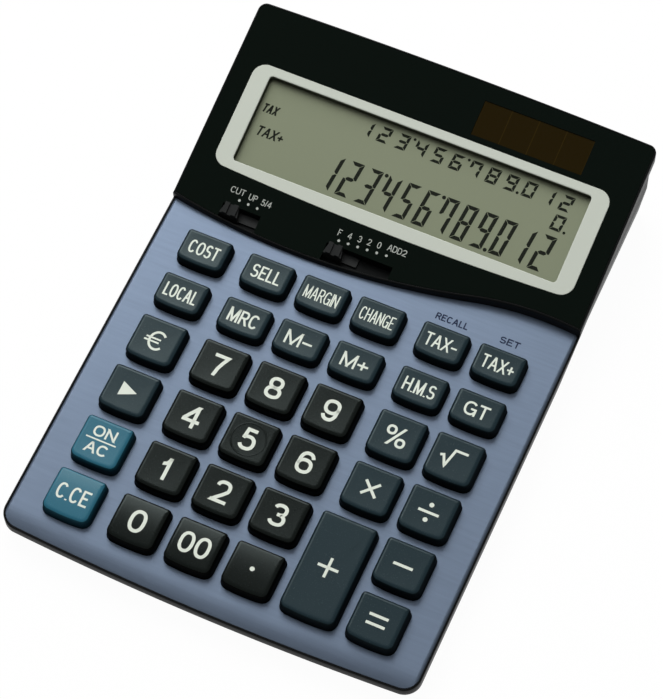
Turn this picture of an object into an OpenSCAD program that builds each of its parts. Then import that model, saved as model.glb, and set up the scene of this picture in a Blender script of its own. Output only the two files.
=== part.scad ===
// Desktop calculator: a deck of keys in front of a raised, tilted two line display.
// Lengths are in millimetres and angles in degrees. +X is right, +Y is back, +Z is up.
// The origin lies on the table, under the middle of the case.

/* [Keys] */
// Centre distance of the columns and of the four lower rows
key_pitch = 20; // [18:0.5:24]
// Gap between two neighbouring keys of a row
key_gap = 3.3; // [3:0.1:5]
// Gap between two rows of large keys
row_gap = 3.7; // [3:0.1:5]
// Extra gap on both sides of the three digit columns
group_gap = 2.8; // [2.4:0.2:6]
// Centre distance of the two rows of small keys
small_pitch = 17.7; // [15:0.1:22]
// Gap between two rows of small keys
small_gap = 5.2; // [3:0.1:6]
// Gap between the small keys and the digit keys
block_gap = 4.5; // [3:0.1:8]
// How much wider the tall key is, to its left
tall_extra = 2.5; // [0:0.1:2.8]
// Height of a key above the plate
key_rise = 4; // [3:0.1:6]
// How far each side of a key leans in below its top edge
key_lean = 0.2; // [0.1:0.05:0.8]
// Size of the rounding along the top edge of a key
key_edge = 1.3; // [0.3:0.05:1.5]
// How far the front of a key bows out
key_bow = 0.6; // [0:0.1:1]
// Corner radius at the back of a key
key_back_corner = 1.4; // [1.2:0.1:2.5]
// Corner radius at the front of a key
key_front_corner = 2.8; // [1.2:0.1:3.5]
// Wall thickness of a key
key_wall = 1.2; // [0.8:0.1:1.5]
// Clearance between a key and its hole
key_clear = 0.3; // [0.2:0.05:0.4]
// How far a key travels when it is pressed
key_travel = 2; // [1:0.1:2.5]
// Thickness of the flange that keeps a key in the case
flange_t = 1; // [0.6:0.1:1.5]
// Diameter of the plunger inside a key
plunger_d = 4.4; // [3:0.2:5]

/* [Case] */
// Tilt of the key deck to the table
deck_tilt = 2.7; // [1.5:0.1:5]
// Gap between the outer keys and the side of the case
side_gap = 11.35; // [10:0.05:18]
// Gap between the front keys and the front of the case
front_gap = 10.25; // [8:0.05:16]
// How far the middle of the front bows out
front_bow = 2.4; // [0.8:0.1:3]
// How far the middle of the back bows out
back_bow = 1; // [0.5:0.1:3]
// Corner radius at the front
front_corner = 6; // [4:0.5:9]
// Corner radius at the back
back_corner = 3; // [2.5:0.5:6]
// Wall thickness of the two shells
wall = 2; // [1.6:0.1:2.4]
// Height of the upper shell's skirt
skirt_h = 5; // [4.4:0.1:6]
// How far the lower shell stands back under the skirt
lower_step = 1.2; // [0.8:0.1:1.6]
// How far the lower shell draws in towards its floor
lower_lean = 1.5; // [0.8:0.1:2]
// Thickness of the floor
floor_t = 2; // [1.8:0.1:2.2]
// Width of the rim round the plate and the panel
rim_w = 0.7; // [0.5:0.05:1.2]

/* [Deck] */
// Thickness of the metal plate
plate_t = 0.6; // [0.4:0.1:0.8]
// Thickness of the key deck under the plate
deck_t = 1.8; // [1.4:0.1:2.2]
// Clearance round the plate and round the panel
trim_clear = 0.1; // [0.05:0.05:0.2]
// Radius of the roll along the plate's front edge
roll_r = 4; // [2.5:0.1:5]
// Angle through which the plate's front edge is rolled
roll_angle = 40; // [20:1:55]

/* [Display] */
// Tilt of the display panel to the key deck
panel_tilt = 12.3; // [8:0.1:18]
// Gap between the small keys and the lowest point of the wave
wave_gap = 6.15; // [5:0.05:10]
// Height of the panel's edge above the plate at that point
wave_step = 1.8; // [1.6:0.1:3]
// Place of that point left of the middle
wave_left = 26.6; // [20:0.1:32]
// Radius of the wave's left part
wave_left_r = 257; // [230:1:300]
// Radius of the wave's right part
wave_right_r = 108; // [90:1:130]
// Angle through which the wave rises between its two parts
wave_turn = 13.75; // [12:0.25:15]
// Gap between the solar cell and the back of the case
back_gap = 6.7; // [6:0.1:14]
// Thickness of the glossy panel
panel_t = 1.5; // [1:0.1:2]
// Thickness of the housing wall under the panel
housing_t = 1.5; // [1.2:0.1:2]
// Gap between the display window and the side of the case
window_side = 14; // [12:0.1:22]
// Height of the display window
window_h = 32.1; // [24:0.1:33]
// Width of the pale frame beside the window
bezel_side = 6.35; // [4:0.05:7]
// Width of the pale frame above the window
bezel_top = 3.3; // [2.4:0.1:4]
// Width of the pale frame below the middle of the window
bezel_low = 5; // [4.4:0.1:6.5]
// How far the frame's lower edge bows out
bezel_bow = 1.9; // [1:0.1:2.4]
// Corner radius of the pale frame
bezel_corner = 4.8; // [3:0.1:6]
// Wall of the frame's throat
throat_wall = 1.5; // [1:0.1:2]
// Thickness of the clear pane over the display glass
pane_t = 0.8; // [0.5:0.1:1]
// Thickness of the display glass
glass_t = 2.2; // [1.6:0.1:3]
// Width of the display glass outside the window
glass_lap = 3; // [2.5:0.1:3.5]
// Width of the solar cell
solar_w = 39.4; // [30:0.2:44]
// Height of the solar cell
solar_h = 12.6; // [8:0.2:13]
// Middle of the solar cell right of the centre line
solar_right = 32.4; // [0:0.2:36]
// Gap between the pale frame and the solar cell
solar_gap = 2.2; // [1.4:0.1:3]
// Depth of the solar cell below the panel's surface
solar_depth = 0.25; // [0.1:0.05:0.5]

/* [Switches] */
// Distance between two positions of a slide switch
slide_step = 3.36; // [2.5:0.02:3.5]
// First position of the rounding switch, left of the middle
rounding_left = 51.5; // [48:0.1:53]
// First position of the decimal switch, left of the middle
decimal_left = 13.5; // [13:0.1:15]
// Width of a knob at its front
knob_w = 6.6; // [5:0.1:7]
// Width of a knob at its back
knob_back_w = 4.8; // [4:0.1:5]
// Depth of a knob
knob_d = 3.8; // [3:0.1:3.8]
// Height of a knob above the panel
knob_rise = 1.2; // [0.6:0.1:2.5]
// Height of the two ridges on a knob
ridge_h = 0.8; // [0.4:0.1:1.2]
// Distance of the notch's back edge from the wave's lowest point
notch_d = 7.3; // [7.2:0.1:8]
// Gap between a notch and the pale frame, which holds the switch legends
legend_gap = 9.95; // [8:0.05:14]
// Distance of a slider's strip from the wave's lowest point
strip_start = 3.7; // [3.5:0.1:4]
// Depth of a slider's strip
strip_d = 5.3; // [5:0.1:6]
// Clearance of a slider in its notch and its channel
slide_clear = 0.2; // [0.15:0.05:0.3]
// Thickness of a slider's strip
strip_t = 0.8; // [0.6:0.1:0.9]

/* [Inside] */
// Thickness of a circuit board
board_t = 1.2; // [0.8:0.1:1.4]
// Thickness of the rubber mat
mat_t = 0.8; // [0.6:0.1:1]
// Height of a rubber dome above the mat
dome_h = 1.5; // [1:0.1:1.8]
// Diameter of a rubber dome
dome_d = 8; // [6.4:0.2:9]
// Room left under a pressed key
press_room = 0.3; // [0.2:0.05:0.4]
// Height between the display glass and its board
holder_h = 2.8; // [2:0.1:3.2]
// Length of the screw bosses in the upper shell
boss_l = 4; // [3:0.1:4.2]
// Radius of a screw boss
boss_r = 2.6; // [2.2:0.1:3]
// Diameter of a case screw
screw_d = 2.4; // [2:0.1:2.8]
// Diameter of a case screw's head
screw_head_d = 4; // [3.6:0.1:4.2]
// Height of a case screw's head
screw_head_h = 1.6; // [1.2:0.1:2]
// Thickness of the seat under a case screw's head
seat_t = 1.6; // [1.2:0.1:2]
// Diameter of a board screw
board_screw_d = 1.6; // [1.2:0.1:1.8]
// Diameter of a board screw's head
board_head_d = 3; // [2.4:0.1:3.4]
// Height of a board screw's head
board_head_h = 0.8; // [0.6:0.1:1]
// Clearance round a screw
screw_clear = 0.1; // [0.05:0.05:0.2]
// Diameter of the button cell
cell_d = 20; // [12:0.5:24]
// Height of the button cell
cell_h = 3.2; // [1.6:0.1:5]
// How far the battery door reaches past the cell's well
door_ledge = 3.1; // [2:0.1:5]
// Thickness of the battery door
door_t = 1.1; // [0.8:0.1:1.2]
// Clearance round the battery door
door_clear = 0.3; // [0.2:0.05:0.5]
// Diameter of a rubber foot
foot_d = 10; // [7:0.5:13]
// Height of a rubber foot below the floor
foot_h = 1.2; // [1:0.1:1.6]
// Depth of the recess that holds a foot
foot_recess = 0.8; // [0.5:0.1:1]
// Distance of the feet from the front and the back
foot_inset = 20; // [14:0.5:30]
// Room between the main board and the floor at the front
floor_room = 0.7; // [0.6:0.1:6]

/* [Hidden] */
$fn = 48;
bow_fn = 400;
far = 300;
// How far a cut runs past a face, and how far joined shapes reach into each other
cut = 1;
merge = 0.1;
// Smallest corner radius of an outline that is drawn in
least_corner = 0.3;

// Large keys, small keys and their rows, counted from the back
key_w = key_pitch - key_gap;
key_d = key_pitch - row_gap;
small_d = small_pitch - small_gap;
row_6_y = front_gap + key_d / 2;
row_3_y = row_6_y + 3 * key_pitch;
row_2_y = row_3_y + key_d / 2 + block_gap + small_d / 2;
row_1_y = row_2_y + small_pitch;
// The tall key stands half way between the two front rows
tall_row = 5.5;
ROW_Y = [0, row_1_y, row_2_y, row_3_y, row_3_y - key_pitch, row_6_y + key_pitch, row_6_y];
flange_room = 1;
flange_lap = (key_gap - flange_room) / 2 - key_clear;

// Heights on the key deck, counted from the plate's upper face
deck_under = -plate_t - deck_t;
mat_top = deck_under - flange_t - key_travel - press_room;
board_top = mat_top - mat_t;
board_under = board_top - board_t;
dome_top = mat_top + dome_h;
front_h = foot_h + floor_t + floor_room - board_under;

// Display, counted back along the panel from the wave's lowest point
window_start = notch_d + legend_gap + bezel_low;
window_end = window_start + window_h;
bezel_end = window_end + bezel_top;
solar_start = bezel_end + solar_gap;
display_l = solar_start + solar_h + back_gap;

// Case outline on the key deck, with the front edge at y = 0
case_w = 5 * key_pitch + 2 * group_gap + key_w + 2 * side_gap;
wave_y = row_1_y + small_d / 2 + wave_gap;
case_l = wave_y + display_l * cos(panel_tilt);
window_w = case_w - 2 * window_side;
front_r = case_w * case_w / (8 * front_bow);
back_r = case_w * case_w / (8 * back_bow);
back_top = wave_step + display_l * sin(panel_tilt);
back_low = back_top - skirt_h / cos(panel_tilt);
deck_y = -(case_l * cos(deck_tilt) - back_low * sin(deck_tilt)) / 2;
kink_y = wave_y + (skirt_h / cos(panel_tilt) - skirt_h - wave_step) / tan(panel_tilt);
crest_y = wave_y + (skirt_h / cos(panel_tilt) - wave_step) / tan(panel_tilt);
roll_run = roll_r * sin(roll_angle);
roll_drop = roll_r * (1 - cos(roll_angle));

// Wave edge: an arc that bows to the front meets an arc that bows to the back
wave_centre_1 = [-wave_left, wave_y + wave_left_r];
wave_centre_2 = wave_centre_1 + (wave_left_r + wave_right_r) * [sin(wave_turn), -cos(wave_turn)];

// Slide switches on the shelf behind the wave edge
shelf_top = -plate_t;
strip_front = wave_y + strip_start;
shelf_wall = 1.6;
shelf_back = strip_front + strip_d + shelf_wall;
stem_w = 3;
stem_d = 2.4;
stem_y = strip_front + strip_d / 2;
stem_out = 0.4;
stem_low = deck_under - stem_out;
knob_y = wave_y + (notch_d - slide_clear) * cos(panel_tilt) - knob_d;
wiper_t = 0.3;
wiper_edge = 0.2;
wiper_foot = 3.4;
wiper_bend = 2;
wiper_top = 1.2;
// First position, travel, and how far the strip reaches left and right of the knob
SWITCHES = [
    [-rounding_left, 2 * slide_step, 2 * slide_step, 2 * slide_step],
    [-decimal_left, 5 * slide_step, 3 * slide_step, 1.5 * slide_step]
];

// Display stack, counted down from the panel's surface
panel_under = -panel_t;
housing_under = -panel_t - housing_t;
pane_top = housing_under + pane_t;
glass_under = housing_under - glass_t;
display_board_top = glass_under - holder_h;
display_board_under = display_board_top - board_t;
glass_w = window_w + 2 * glass_lap;
glass_start = window_start - glass_lap;
glass_l = window_h + 2 * glass_lap;
holder_wall = 1.5;
post_d = 3.6;
post_room = 0.6;
post_low = glass_start - holder_wall - post_d / 2 - post_room;
post_high = glass_start + glass_l + holder_wall + post_d / 2 + post_room;
post_x = glass_w / 2 - post_d;
display_board_edge = 1.4;
holder_clear = 0.3;
zebra_edge = 1.2;
zebra_w = 2.4;
DISPLAY_POSTS = [for (x = [-post_x, post_x], y = [post_low, post_high]) [x, y]];

// Screws, boards and feet
flange_x = 2.5 * key_pitch + group_gap + key_w / 2 + key_clear + flange_lap;
boss_x = (flange_x + case_w / 2 - wall) / 2;
tower_wall = 1;
tower_r = screw_head_d / 2 + 2 * screw_clear + tower_wall;
board_edge = 0.5;
board_w = 2 * (boss_x - tower_r - board_edge);
board_short = 1.4;
board_lap = 2.6;
board_front = row_6_y - key_d / 2 + board_short;
board_back = shelf_back + board_lap;
post_clear = 0.3;
board_post_d = flange_room + group_gap - 2 * post_clear;
board_post_x = 2 * key_pitch + group_gap / 2;
board_post_right = key_pitch + group_gap / 2;
BOARD_POSTS = concat([for (r = [5.5, 3.5, 1.5]) [-board_post_x, key_y(r)]],
    [for (r = [4, 2.5, 1.5]) [board_post_right, key_y(r)]]);
tower_gap = 0.6;
tower_back_gap = 3;
boss_front_y = wall + front_bow + tower_r + tower_gap;
boss_back_y = case_l - wall - back_bow - tower_r - tower_back_gap;
BOSSES = [for (x = [-boss_x, boss_x], y = [boss_front_y, row_1_y, boss_back_y]) [x, y]];
boss_relief = 0.5;
bore_end = 0.4;
head_clear = 0.2;
screw_short = 0.8;
screw_slot_w = 0.7;
screw_slot_h = 0.8;
board_screw_l = board_t + 2.5;
foot_side = 4;
foot_x = case_w / 2 - lower_step - lower_lean - foot_d / 2 - foot_side;
FEET = [for (x = [-foot_x, foot_x], y = [foot_inset, case_l - foot_inset]) [x, deck_y + y]];
cell_x = -case_w / 4;
cell_y = deck_y + wave_y + (case_l - wave_y) / 2;
cell_room = 0.4;
door_w = cell_d + 2 * cell_room + 2 * door_ledge;
well_wall = 1.4;
well_h = cell_h + door_t - floor_t;
contact_t = 0.3;
contact_w = 5;
contact_lap = 1.2;
contact_tail = 4;
grip_edge = 3;
grip_d = 2;
cell_groove = 0.25;
cell_rim = 0.8;
mat_edge = 1;
dome_seat = 0.4;
dome_wall = 0.8;
dome_roof = 0.9;

// Name, column counted from the left, row counted from the back, and colour
slate = [0.17, 0.23, 0.26];
charcoal = [0.19, 0.20, 0.19];
teal = [0.29, 0.49, 0.57];
KEYS = [
    ["key_cost", 0, 1, slate], ["key_sell", 1, 1, slate], ["key_margin", 2, 1, slate],
    ["key_change", 3, 1, slate], ["key_tax_minus", 4, 1, slate], ["key_tax_plus", 5, 1, slate],
    ["key_local", 0, 2, slate], ["key_mrc", 1, 2, slate], ["key_m_minus", 2, 2, slate],
    ["key_m_plus", 3, 2, slate], ["key_hms", 4, 2, slate], ["key_gt", 5, 2, slate],
    ["key_euro", 0, 3, slate], ["key_7", 1, 3, charcoal], ["key_8", 2, 3, charcoal],
    ["key_9", 3, 3, charcoal], ["key_percent", 4, 3, slate], ["key_root", 5, 3, slate],
    ["key_back", 0, 4, slate], ["key_4", 1, 4, charcoal], ["key_5", 2, 4, charcoal],
    ["key_6", 3, 4, charcoal], ["key_times", 4, 4, slate], ["key_divide", 5, 4, slate],
    ["key_on_ac", 0, 5, teal], ["key_1", 1, 5, charcoal], ["key_2", 2, 5, charcoal],
    ["key_3", 3, 5, charcoal], ["key_plus", 4, tall_row, slate], ["key_minus", 5, 5, slate],
    ["key_c_ce", 0, 6, teal], ["key_0", 1, 6, charcoal], ["key_00", 2, 6, charcoal],
    ["key_point", 3, 6, charcoal], ["key_equals", 5, 6, slate]
];

function arc(centre, r, from, to, steps) =
    [for (i = [0:steps]) let (a = from + (to - from) * i / steps) centre + r * [cos(a), sin(a)]];

function key_x(column, row) = (column - 2.5) * key_pitch
    + (column < 1 ? -group_gap : column > 3 ? group_gap : 0) - (row == tall_row ? tall_extra / 2 : 0);
function key_y(row) = (ROW_Y[floor(row)] + ROW_Y[ceil(row)]) / 2;
function key_depth(row) = row < 3 ? small_d : row == tall_row ? key_pitch + key_d : key_d;
function key_width(row) = row == tall_row ? key_w + tall_extra : key_w;

// Outline of a key: round corners, a straight back and a front that bows out
function key_outline(w, d, inset) =
    let (x = w / 2 - inset,
         back = d / 2 - inset,
         front = inset - d / 2,
         rb = max(key_back_corner - inset, least_corner),
         rf = max(key_front_corner - inset, least_corner),
         corner = front + key_bow * pow((x - rf) / x, 2) + rf)
    concat(
        [for (i = [-1:1]) let (px = i * (x - rf) / 2) [px, front + key_bow * pow(px / x, 2)]],
        arc([x - rf, corner], rf, -90, 0, 4),
        arc([x - rb, back - rb], rb, 0, 90, 3),
        arc([rb - x, back - rb], rb, 90, 180, 3),
        arc([rf - x, corner], rf, 180, 270, 4));

// Outline of the case at the height of the deck, drawn in by inset
function front_edge(x, inset) = front_r - sqrt(pow(front_r - inset, 2) - x * x);
function back_edge(x, inset) = case_l - back_r + sqrt(pow(back_r - inset, 2) - x * x);
function back_points(inset) =
    let (r = max(back_corner - inset, least_corner),
         x = case_w / 2 - inset - r,
         y = back_edge(x, inset) - r)
    concat(arc([x, y], r, 0, 90, 6),
        [for (i = [4:-1:-4]) let (px = x * i / 5) [px, back_edge(px, inset)]],
        arc([-x, y], r, 90, 180, 6));
function case_outline(inset) =
    let (r = max(front_corner - inset, least_corner),
         x = case_w / 2 - inset - r,
         y = front_edge(x, inset) + r)
    concat([for (i = [-5:5]) let (px = x * i / 6) [px, front_edge(px, inset)]],
        arc([x, y], r, -90, 0, 8), back_points(inset), arc([-x, y], r, 180, 270, 8));

// Outline of the display housing: the wave in front and the case outline behind
function wave_meet(inset) = wave_centre_1[0] + (wave_left_r - inset) * sin(wave_turn);
function wave_edge(x, inset) = x < wave_meet(inset)
    ? wave_centre_1[1] - sqrt(pow(wave_left_r - inset, 2) - pow(x - wave_centre_1[0], 2))
    : wave_centre_2[1] + sqrt(pow(wave_right_r + inset, 2) - pow(x - wave_centre_2[0], 2));
function display_outline(inset) =
    concat([for (i = [-16:16]) let (x = (case_w / 2 - inset) * i / 16) [x, wave_edge(x, inset)]],
        back_points(inset));

// Outline of the pale frame, with its lower edge bowed out
function bezel_outline(grow) =
    let (x = window_w / 2 + bezel_side + grow,
         low = window_start - bezel_low - grow,
         high = bezel_end + grow,
         r = bezel_corner + grow,
         corner = low + bezel_bow * pow((x - r) / x, 2) + r)
    concat([for (i = [-5:5]) let (px = (x - r) * i / 6) [px, low + bezel_bow * pow(px / x, 2)]],
        arc([x - r, corner], r, -90, 0, 6), arc([x - r, high - r], r, 0, 90, 6),
        arc([r - x, high - r], r, 90, 180, 6), arc([r - x, corner], r, 180, 270, 6));

// Closed outline of a strip of thickness t that follows a line of points
function turned(v) = [-v[1], v[0]] / norm(v);
function side_of(p, i) = i == 0 ? turned(p[1] - p[0])
    : i == len(p) - 1 ? turned(p[i] - p[i - 1])
    : let (a = turned(p[i] - p[i - 1]), b = turned(p[i + 1] - p[i])) (a + b) / (1 + a * b);
function strip_outline(p, t) = concat(
    [for (i = [0:len(p) - 1]) p[i] - side_of(p, i) * t / 2],
    [for (i = [len(p) - 1:-1:0]) p[i] + side_of(p, i) * t / 2]);

// Places its children on the key deck, with z = 0 on the plate's upper face
module on_deck() {
    translate([0, deck_y, front_h]) rotate([deck_tilt, 0, 0]) children();
}

// Turns its children from the deck to the display panel, with y = 0 at the wave's lowest point
module tilted() {
    translate([0, wave_y, wave_step]) rotate([panel_tilt, 0, 0]) children();
}

module on_panel() {
    on_deck() tilted() children();
}

module slab(points, low, high) {
    translate([0, 0, low]) linear_extrude(high - low) polygon(points);
}

module block(x0, x1, y0, y1, z0, z1) {
    translate([x0, y0, z0]) cube([x1 - x0, y1 - y0, z1 - z0]);
}

// Profile in y and z, carried across the width of the case
module across(points) {
    rotate([90, 0, 90]) translate([0, 0, -far / 2]) linear_extrude(far) polygon(points);
}

// Profile in radius and z, carried along the bow of the front edge
module along_front(points) {
    half = asin((case_w / 2 + front_corner) / front_r);
    translate([0, front_r, 0]) rotate([0, 0, -90 - half])
        rotate_extrude(angle = 2 * half) polygon(points);
}

// Solid through a stack of outlines, given as pairs of inset and height
module key_loft(w, d, layers) {
    n = len(key_outline(w, d, 0));
    rings = [for (l = layers, p = key_outline(w, d, l[0])) [p[0], p[1], l[1]]];
    sides = [for (k = [0:len(layers) - 2], i = [0:n - 1]) let (j = (i + 1) % n)
        [k * n + i, (k + 1) * n + i, (k + 1) * n + j, k * n + j]];
    low = [for (i = [0:n - 1]) i];
    high = [for (i = [n - 1:-1:0]) (len(layers) - 1) * n + i];
    polyhedron(rings, concat(sides, [low, high]));
}

module key_holes(low, high, clear) {
    for (k = KEYS)
        translate([key_x(k[1], k[2]), key_y(k[2]), 0])
            slab(key_outline(key_width(k[2]), key_depth(k[2]), -clear), low, high);
}

// The plate's front edge at a given depth below its upper face: a short flat lead and the roll
roll_start = front_r - rim_w - roll_run;
roll_lead = 1;
function roll_points(depth) = concat([[roll_start - roll_lead, -depth]],
    [for (i = [0:6]) let (a = roll_angle * i / 6)
        [roll_start + (roll_r - depth) * sin(a), -roll_r + (roll_r - depth) * cos(a)]]);
function reversed(points) = [for (i = [len(points) - 1:-1:0]) points[i]];

function underside(y) = y < wave_y ? deck_under
    : wave_step + (y - wave_y) * tan(panel_tilt) + housing_under / cos(panel_tilt);

// Room for a slider's knob, its strip and its stem
module switch_cuts(first, travel, left, right) {
    knob_room = knob_w / 2 + slide_clear;
    intersection() {
        slab(display_outline(rim_w), shelf_top, far);
        block(first - knob_room, first + travel + knob_room, 0,
            wave_y + notch_d * cos(panel_tilt), shelf_top, far);
    }
    block(first - left - knob_room, first + travel + right + knob_room,
        strip_front - slide_clear, strip_front + strip_d + slide_clear,
        shelf_top, shelf_top + strip_t + slide_clear);
    block(first - stem_w / 2 - slide_clear, first + travel + stem_w / 2 + slide_clear,
        stem_y - stem_d / 2 - slide_clear, stem_y + stem_d / 2 + slide_clear, -far, shelf_top + merge);
}

module upper_case() {
    color([0.08, 0.09, 0.09]) on_deck() difference() {
        union() {
            intersection() {
                slab(case_outline(0), -far, far);
                across([[-far, -skirt_h], [kink_y, -skirt_h], [crest_y, 0], [-far, 0]]);
            }
            intersection() {
                slab(display_outline(0), -far, far);
                tilted() block(-far, far, -far, far, -skirt_h, 0);
            }
        }
        difference() {
            slab(case_outline(wall), -far, deck_under);
            for (b = BOSSES)
                translate(b) cylinder(r = boss_r, h = far, center = true);
            for (p = BOARD_POSTS)
                translate([p[0], p[1], board_top]) cylinder(d = board_post_d, h = far);
        }
        difference() {
            intersection() {
                slab(case_outline(wall), -far, far);
                block(-far, far, shelf_back, 2 * far, -far, far);
                tilted() block(-far, far, -far, far, -far, housing_under);
            }
            for (b = BOSSES)
                translate(b) cylinder(r = boss_r, h = far, center = true);
            tilted() for (p = DISPLAY_POSTS)
                translate([p[0], p[1], display_board_top]) cylinder(d = post_d, h = far);
        }
        for (b = BOSSES) {
            low = underside(b[1]) - boss_l;
            translate([b[0], b[1], low - far]) cylinder(r = boss_r + boss_relief, h = far);
            translate([b[0], b[1], low - cut])
                cylinder(d = screw_d + 2 * screw_clear, h = cut + boss_l - bore_end);
        }
        for (p = BOARD_POSTS)
            translate([p[0], p[1], board_top - cut])
                cylinder(d = board_screw_d + 2 * screw_clear, h = cut + deck_under - board_top - bore_end);
        tilted() for (p = DISPLAY_POSTS)
            translate([p[0], p[1], display_board_top - cut])
                cylinder(d = board_screw_d + 2 * screw_clear,
                    h = cut + housing_under - display_board_top - bore_end);
        difference() {
            slab(case_outline(rim_w), -plate_t, far);
            slab(display_outline(0), -far, far);
        }
        along_front(concat([[roll_start - roll_lead, far]], roll_points(plate_t),
            [[front_r - rim_w, -roll_drop], [front_r + far, -roll_drop], [front_r + far, far]]));
        intersection() {
            slab(display_outline(rim_w), -far, far);
            tilted() block(-far, far, -far, far, panel_under, far);
        }
        key_holes(-skirt_h, far, key_clear);
        for (s = SWITCHES)
            switch_cuts(s[0], s[1], s[2], s[3]);
        tilted() {
            throat = throat_wall + trim_clear;
            block(-window_w / 2 - throat, window_w / 2 + throat,
                window_start - throat, window_end + throat, -far, far);
        }
    }
}

module face_plate() {
    gap = rim_w + trim_clear;
    color([0.49, 0.55, 0.66]) on_deck() difference() {
        union() {
            intersection() {
                slab(case_outline(gap), -plate_t, 0);
                translate([0, front_r, 0]) cylinder(r = roll_start, h = far, center = true, $fn = bow_fn);
            }
            intersection() {
                slab(case_outline(gap), -far, far);
                along_front(concat(roll_points(0), reversed(roll_points(plate_t))));
            }
        }
        slab(display_outline(-trim_clear), -far, far);
        key_holes(-far, far, key_clear);
    }
}

module display_panel() {
    color([0.05, 0.07, 0.07]) on_deck() difference() {
        intersection() {
            slab(display_outline(rim_w + trim_clear), -far, far);
            tilted() block(-far, far, -far, far, panel_under, 0);
        }
        tilted() {
            slab(bezel_outline(trim_clear), -far, far);
            block(solar_right - solar_w / 2 - trim_clear, solar_right + solar_w / 2 + trim_clear,
                solar_start - trim_clear, solar_start + solar_h + trim_clear, -far, far);
        }
        for (s = SWITCHES)
            switch_cuts(s[0], s[1], s[2], s[3]);
    }
}

module window_bezel() {
    color([0.72, 0.73, 0.69]) on_panel() difference() {
        union() {
            slab(bezel_outline(0), panel_under, 0);
            block(-window_w / 2 - throat_wall, window_w / 2 + throat_wall,
                window_start - throat_wall, window_end + throat_wall, pane_top, panel_under);
        }
        block(-window_w / 2, window_w / 2, window_start, window_end, -far, far);
    }
}

module window_lens() {
    color([0.7, 0.75, 0.75, 0.4]) on_panel()
        block(-window_w / 2 - throat_wall, window_w / 2 + throat_wall,
            window_start - throat_wall, window_end + throat_wall, housing_under, pane_top);
}

module lcd_glass() {
    color([0.49, 0.50, 0.42]) on_panel()
        block(-glass_w / 2, glass_w / 2, glass_start, glass_start + glass_l, glass_under, housing_under);
}

module solar_cell() {
    color([0.19, 0.14, 0.06]) on_panel()
        block(solar_right - solar_w / 2, solar_right + solar_w / 2, solar_start, solar_start + solar_h,
            panel_under, -solar_depth);
}

// Outside of the lower shell, or its inside when drawn in by a wall
module lower_form(inset, base) {
    hull() {
        on_deck() slab(case_outline(lower_step + inset), -skirt_h, back_low);
        translate([0, deck_y, base]) slab(case_outline(lower_step + lower_lean + inset), 0, merge);
    }
}

// Space taken by the upper shell and everything above the parting line
module above_parting() {
    on_deck() across([[-far, -skirt_h], [kink_y, -skirt_h],
        [kink_y + far * cos(panel_tilt), far * sin(panel_tilt) - skirt_h], [-far, far]]);
}

module lower_case() {
    floor_top = foot_h + floor_t;
    color([0.09, 0.10, 0.10]) difference() {
        union() {
            difference() {
                lower_form(0, foot_h);
                lower_form(wall, floor_top);
                above_parting();
            }
            intersection() {
                on_deck() for (b = BOSSES)
                    translate([b[0], b[1], underside(b[1]) - boss_l - far])
                        cylinder(r = tower_r, h = far);
                lower_form(wall / 4, foot_h + floor_t / 4);
            }
            translate([cell_x, cell_y, foot_h + floor_t / 2])
                cylinder(d = cell_d + 2 * cell_room + 2 * well_wall, h = floor_t / 2 + well_h);
        }
        on_deck() for (b = BOSSES) {
            seat = underside(b[1]) - boss_l - seat_t;
            translate([b[0], b[1], seat - far]) cylinder(d = screw_head_d + 2 * head_clear, h = far);
            translate([b[0], b[1], seat - cut])
                cylinder(d = screw_d + 2 * screw_clear, h = seat_t + 2 * cut);
        }
        for (f = FEET)
            translate([f[0], f[1], 0])
                cylinder(d = foot_d + 2 * screw_clear, h = foot_h + foot_recess);
        block(cell_x - door_w / 2 - door_clear, cell_x + door_w / 2 + door_clear,
            cell_y - door_w / 2 - door_clear, cell_y + door_w / 2 + door_clear, 0, foot_h + door_t);
        translate([cell_x, cell_y, 0]) cylinder(d = cell_d + 2 * cell_room, h = far);
    }
}

module rubber_feet() {
    color([0.12, 0.12, 0.12]) for (f = FEET)
        translate([f[0], f[1], 0]) cylinder(d = foot_d, h = foot_h + foot_recess);
}

module case_screws() {
    color([0.6, 0.6, 0.6]) on_deck() for (b = BOSSES)
        translate([b[0], b[1], underside(b[1]) - boss_l - seat_t]) difference() {
            union() {
                translate([0, 0, -screw_head_h]) cylinder(d = screw_head_d, h = screw_head_h);
                cylinder(d = screw_d, h = seat_t + boss_l - screw_short);
            }
            for (a = [0, 90])
                rotate([0, 0, a]) translate([0, 0, -screw_head_h])
                    cube([screw_head_d - 2 * screw_slot_w, screw_slot_w, 2 * screw_slot_h], center = true);
        }
}

module battery_door() {
    grip_y = cell_y - door_w / 2 + grip_edge;
    color([0.09, 0.10, 0.10]) difference() {
        block(cell_x - door_w / 2, cell_x + door_w / 2, cell_y - door_w / 2, cell_y + door_w / 2,
            foot_h, foot_h + door_t);
        block(cell_x - door_w / 4, cell_x + door_w / 4, grip_y, grip_y + grip_d, 0, foot_h + door_t / 2);
    }
}

module button_cell() {
    color([0.75, 0.75, 0.75]) translate([cell_x, cell_y, foot_h + door_t]) difference() {
        cylinder(d = cell_d, h = cell_h);
        translate([0, 0, cell_h - cell_groove]) difference() {
            cylinder(d = cell_d - 2 * cell_rim, h = cut);
            translate([0, 0, -cut]) cylinder(d = cell_d - 4 * cell_rim, h = 3 * cut);
        }
    }
}

// A strip over the cell that rests on the well, and a second one over the well's rim beside the cell
module battery_contacts() {
    low = foot_h + floor_t + well_h;
    reach = cell_d / 2 + cell_room + well_wall;
    color([0.75, 0.62, 0.35]) {
        block(cell_x - reach, cell_x + reach, cell_y - contact_w / 2, cell_y + contact_w / 2,
            low, low + contact_t);
        block(cell_x - contact_w / 2, cell_x + contact_w / 2,
            cell_y + cell_d / 2 - contact_lap, cell_y + reach + contact_tail, low, low + contact_t);
    }
}

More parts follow.
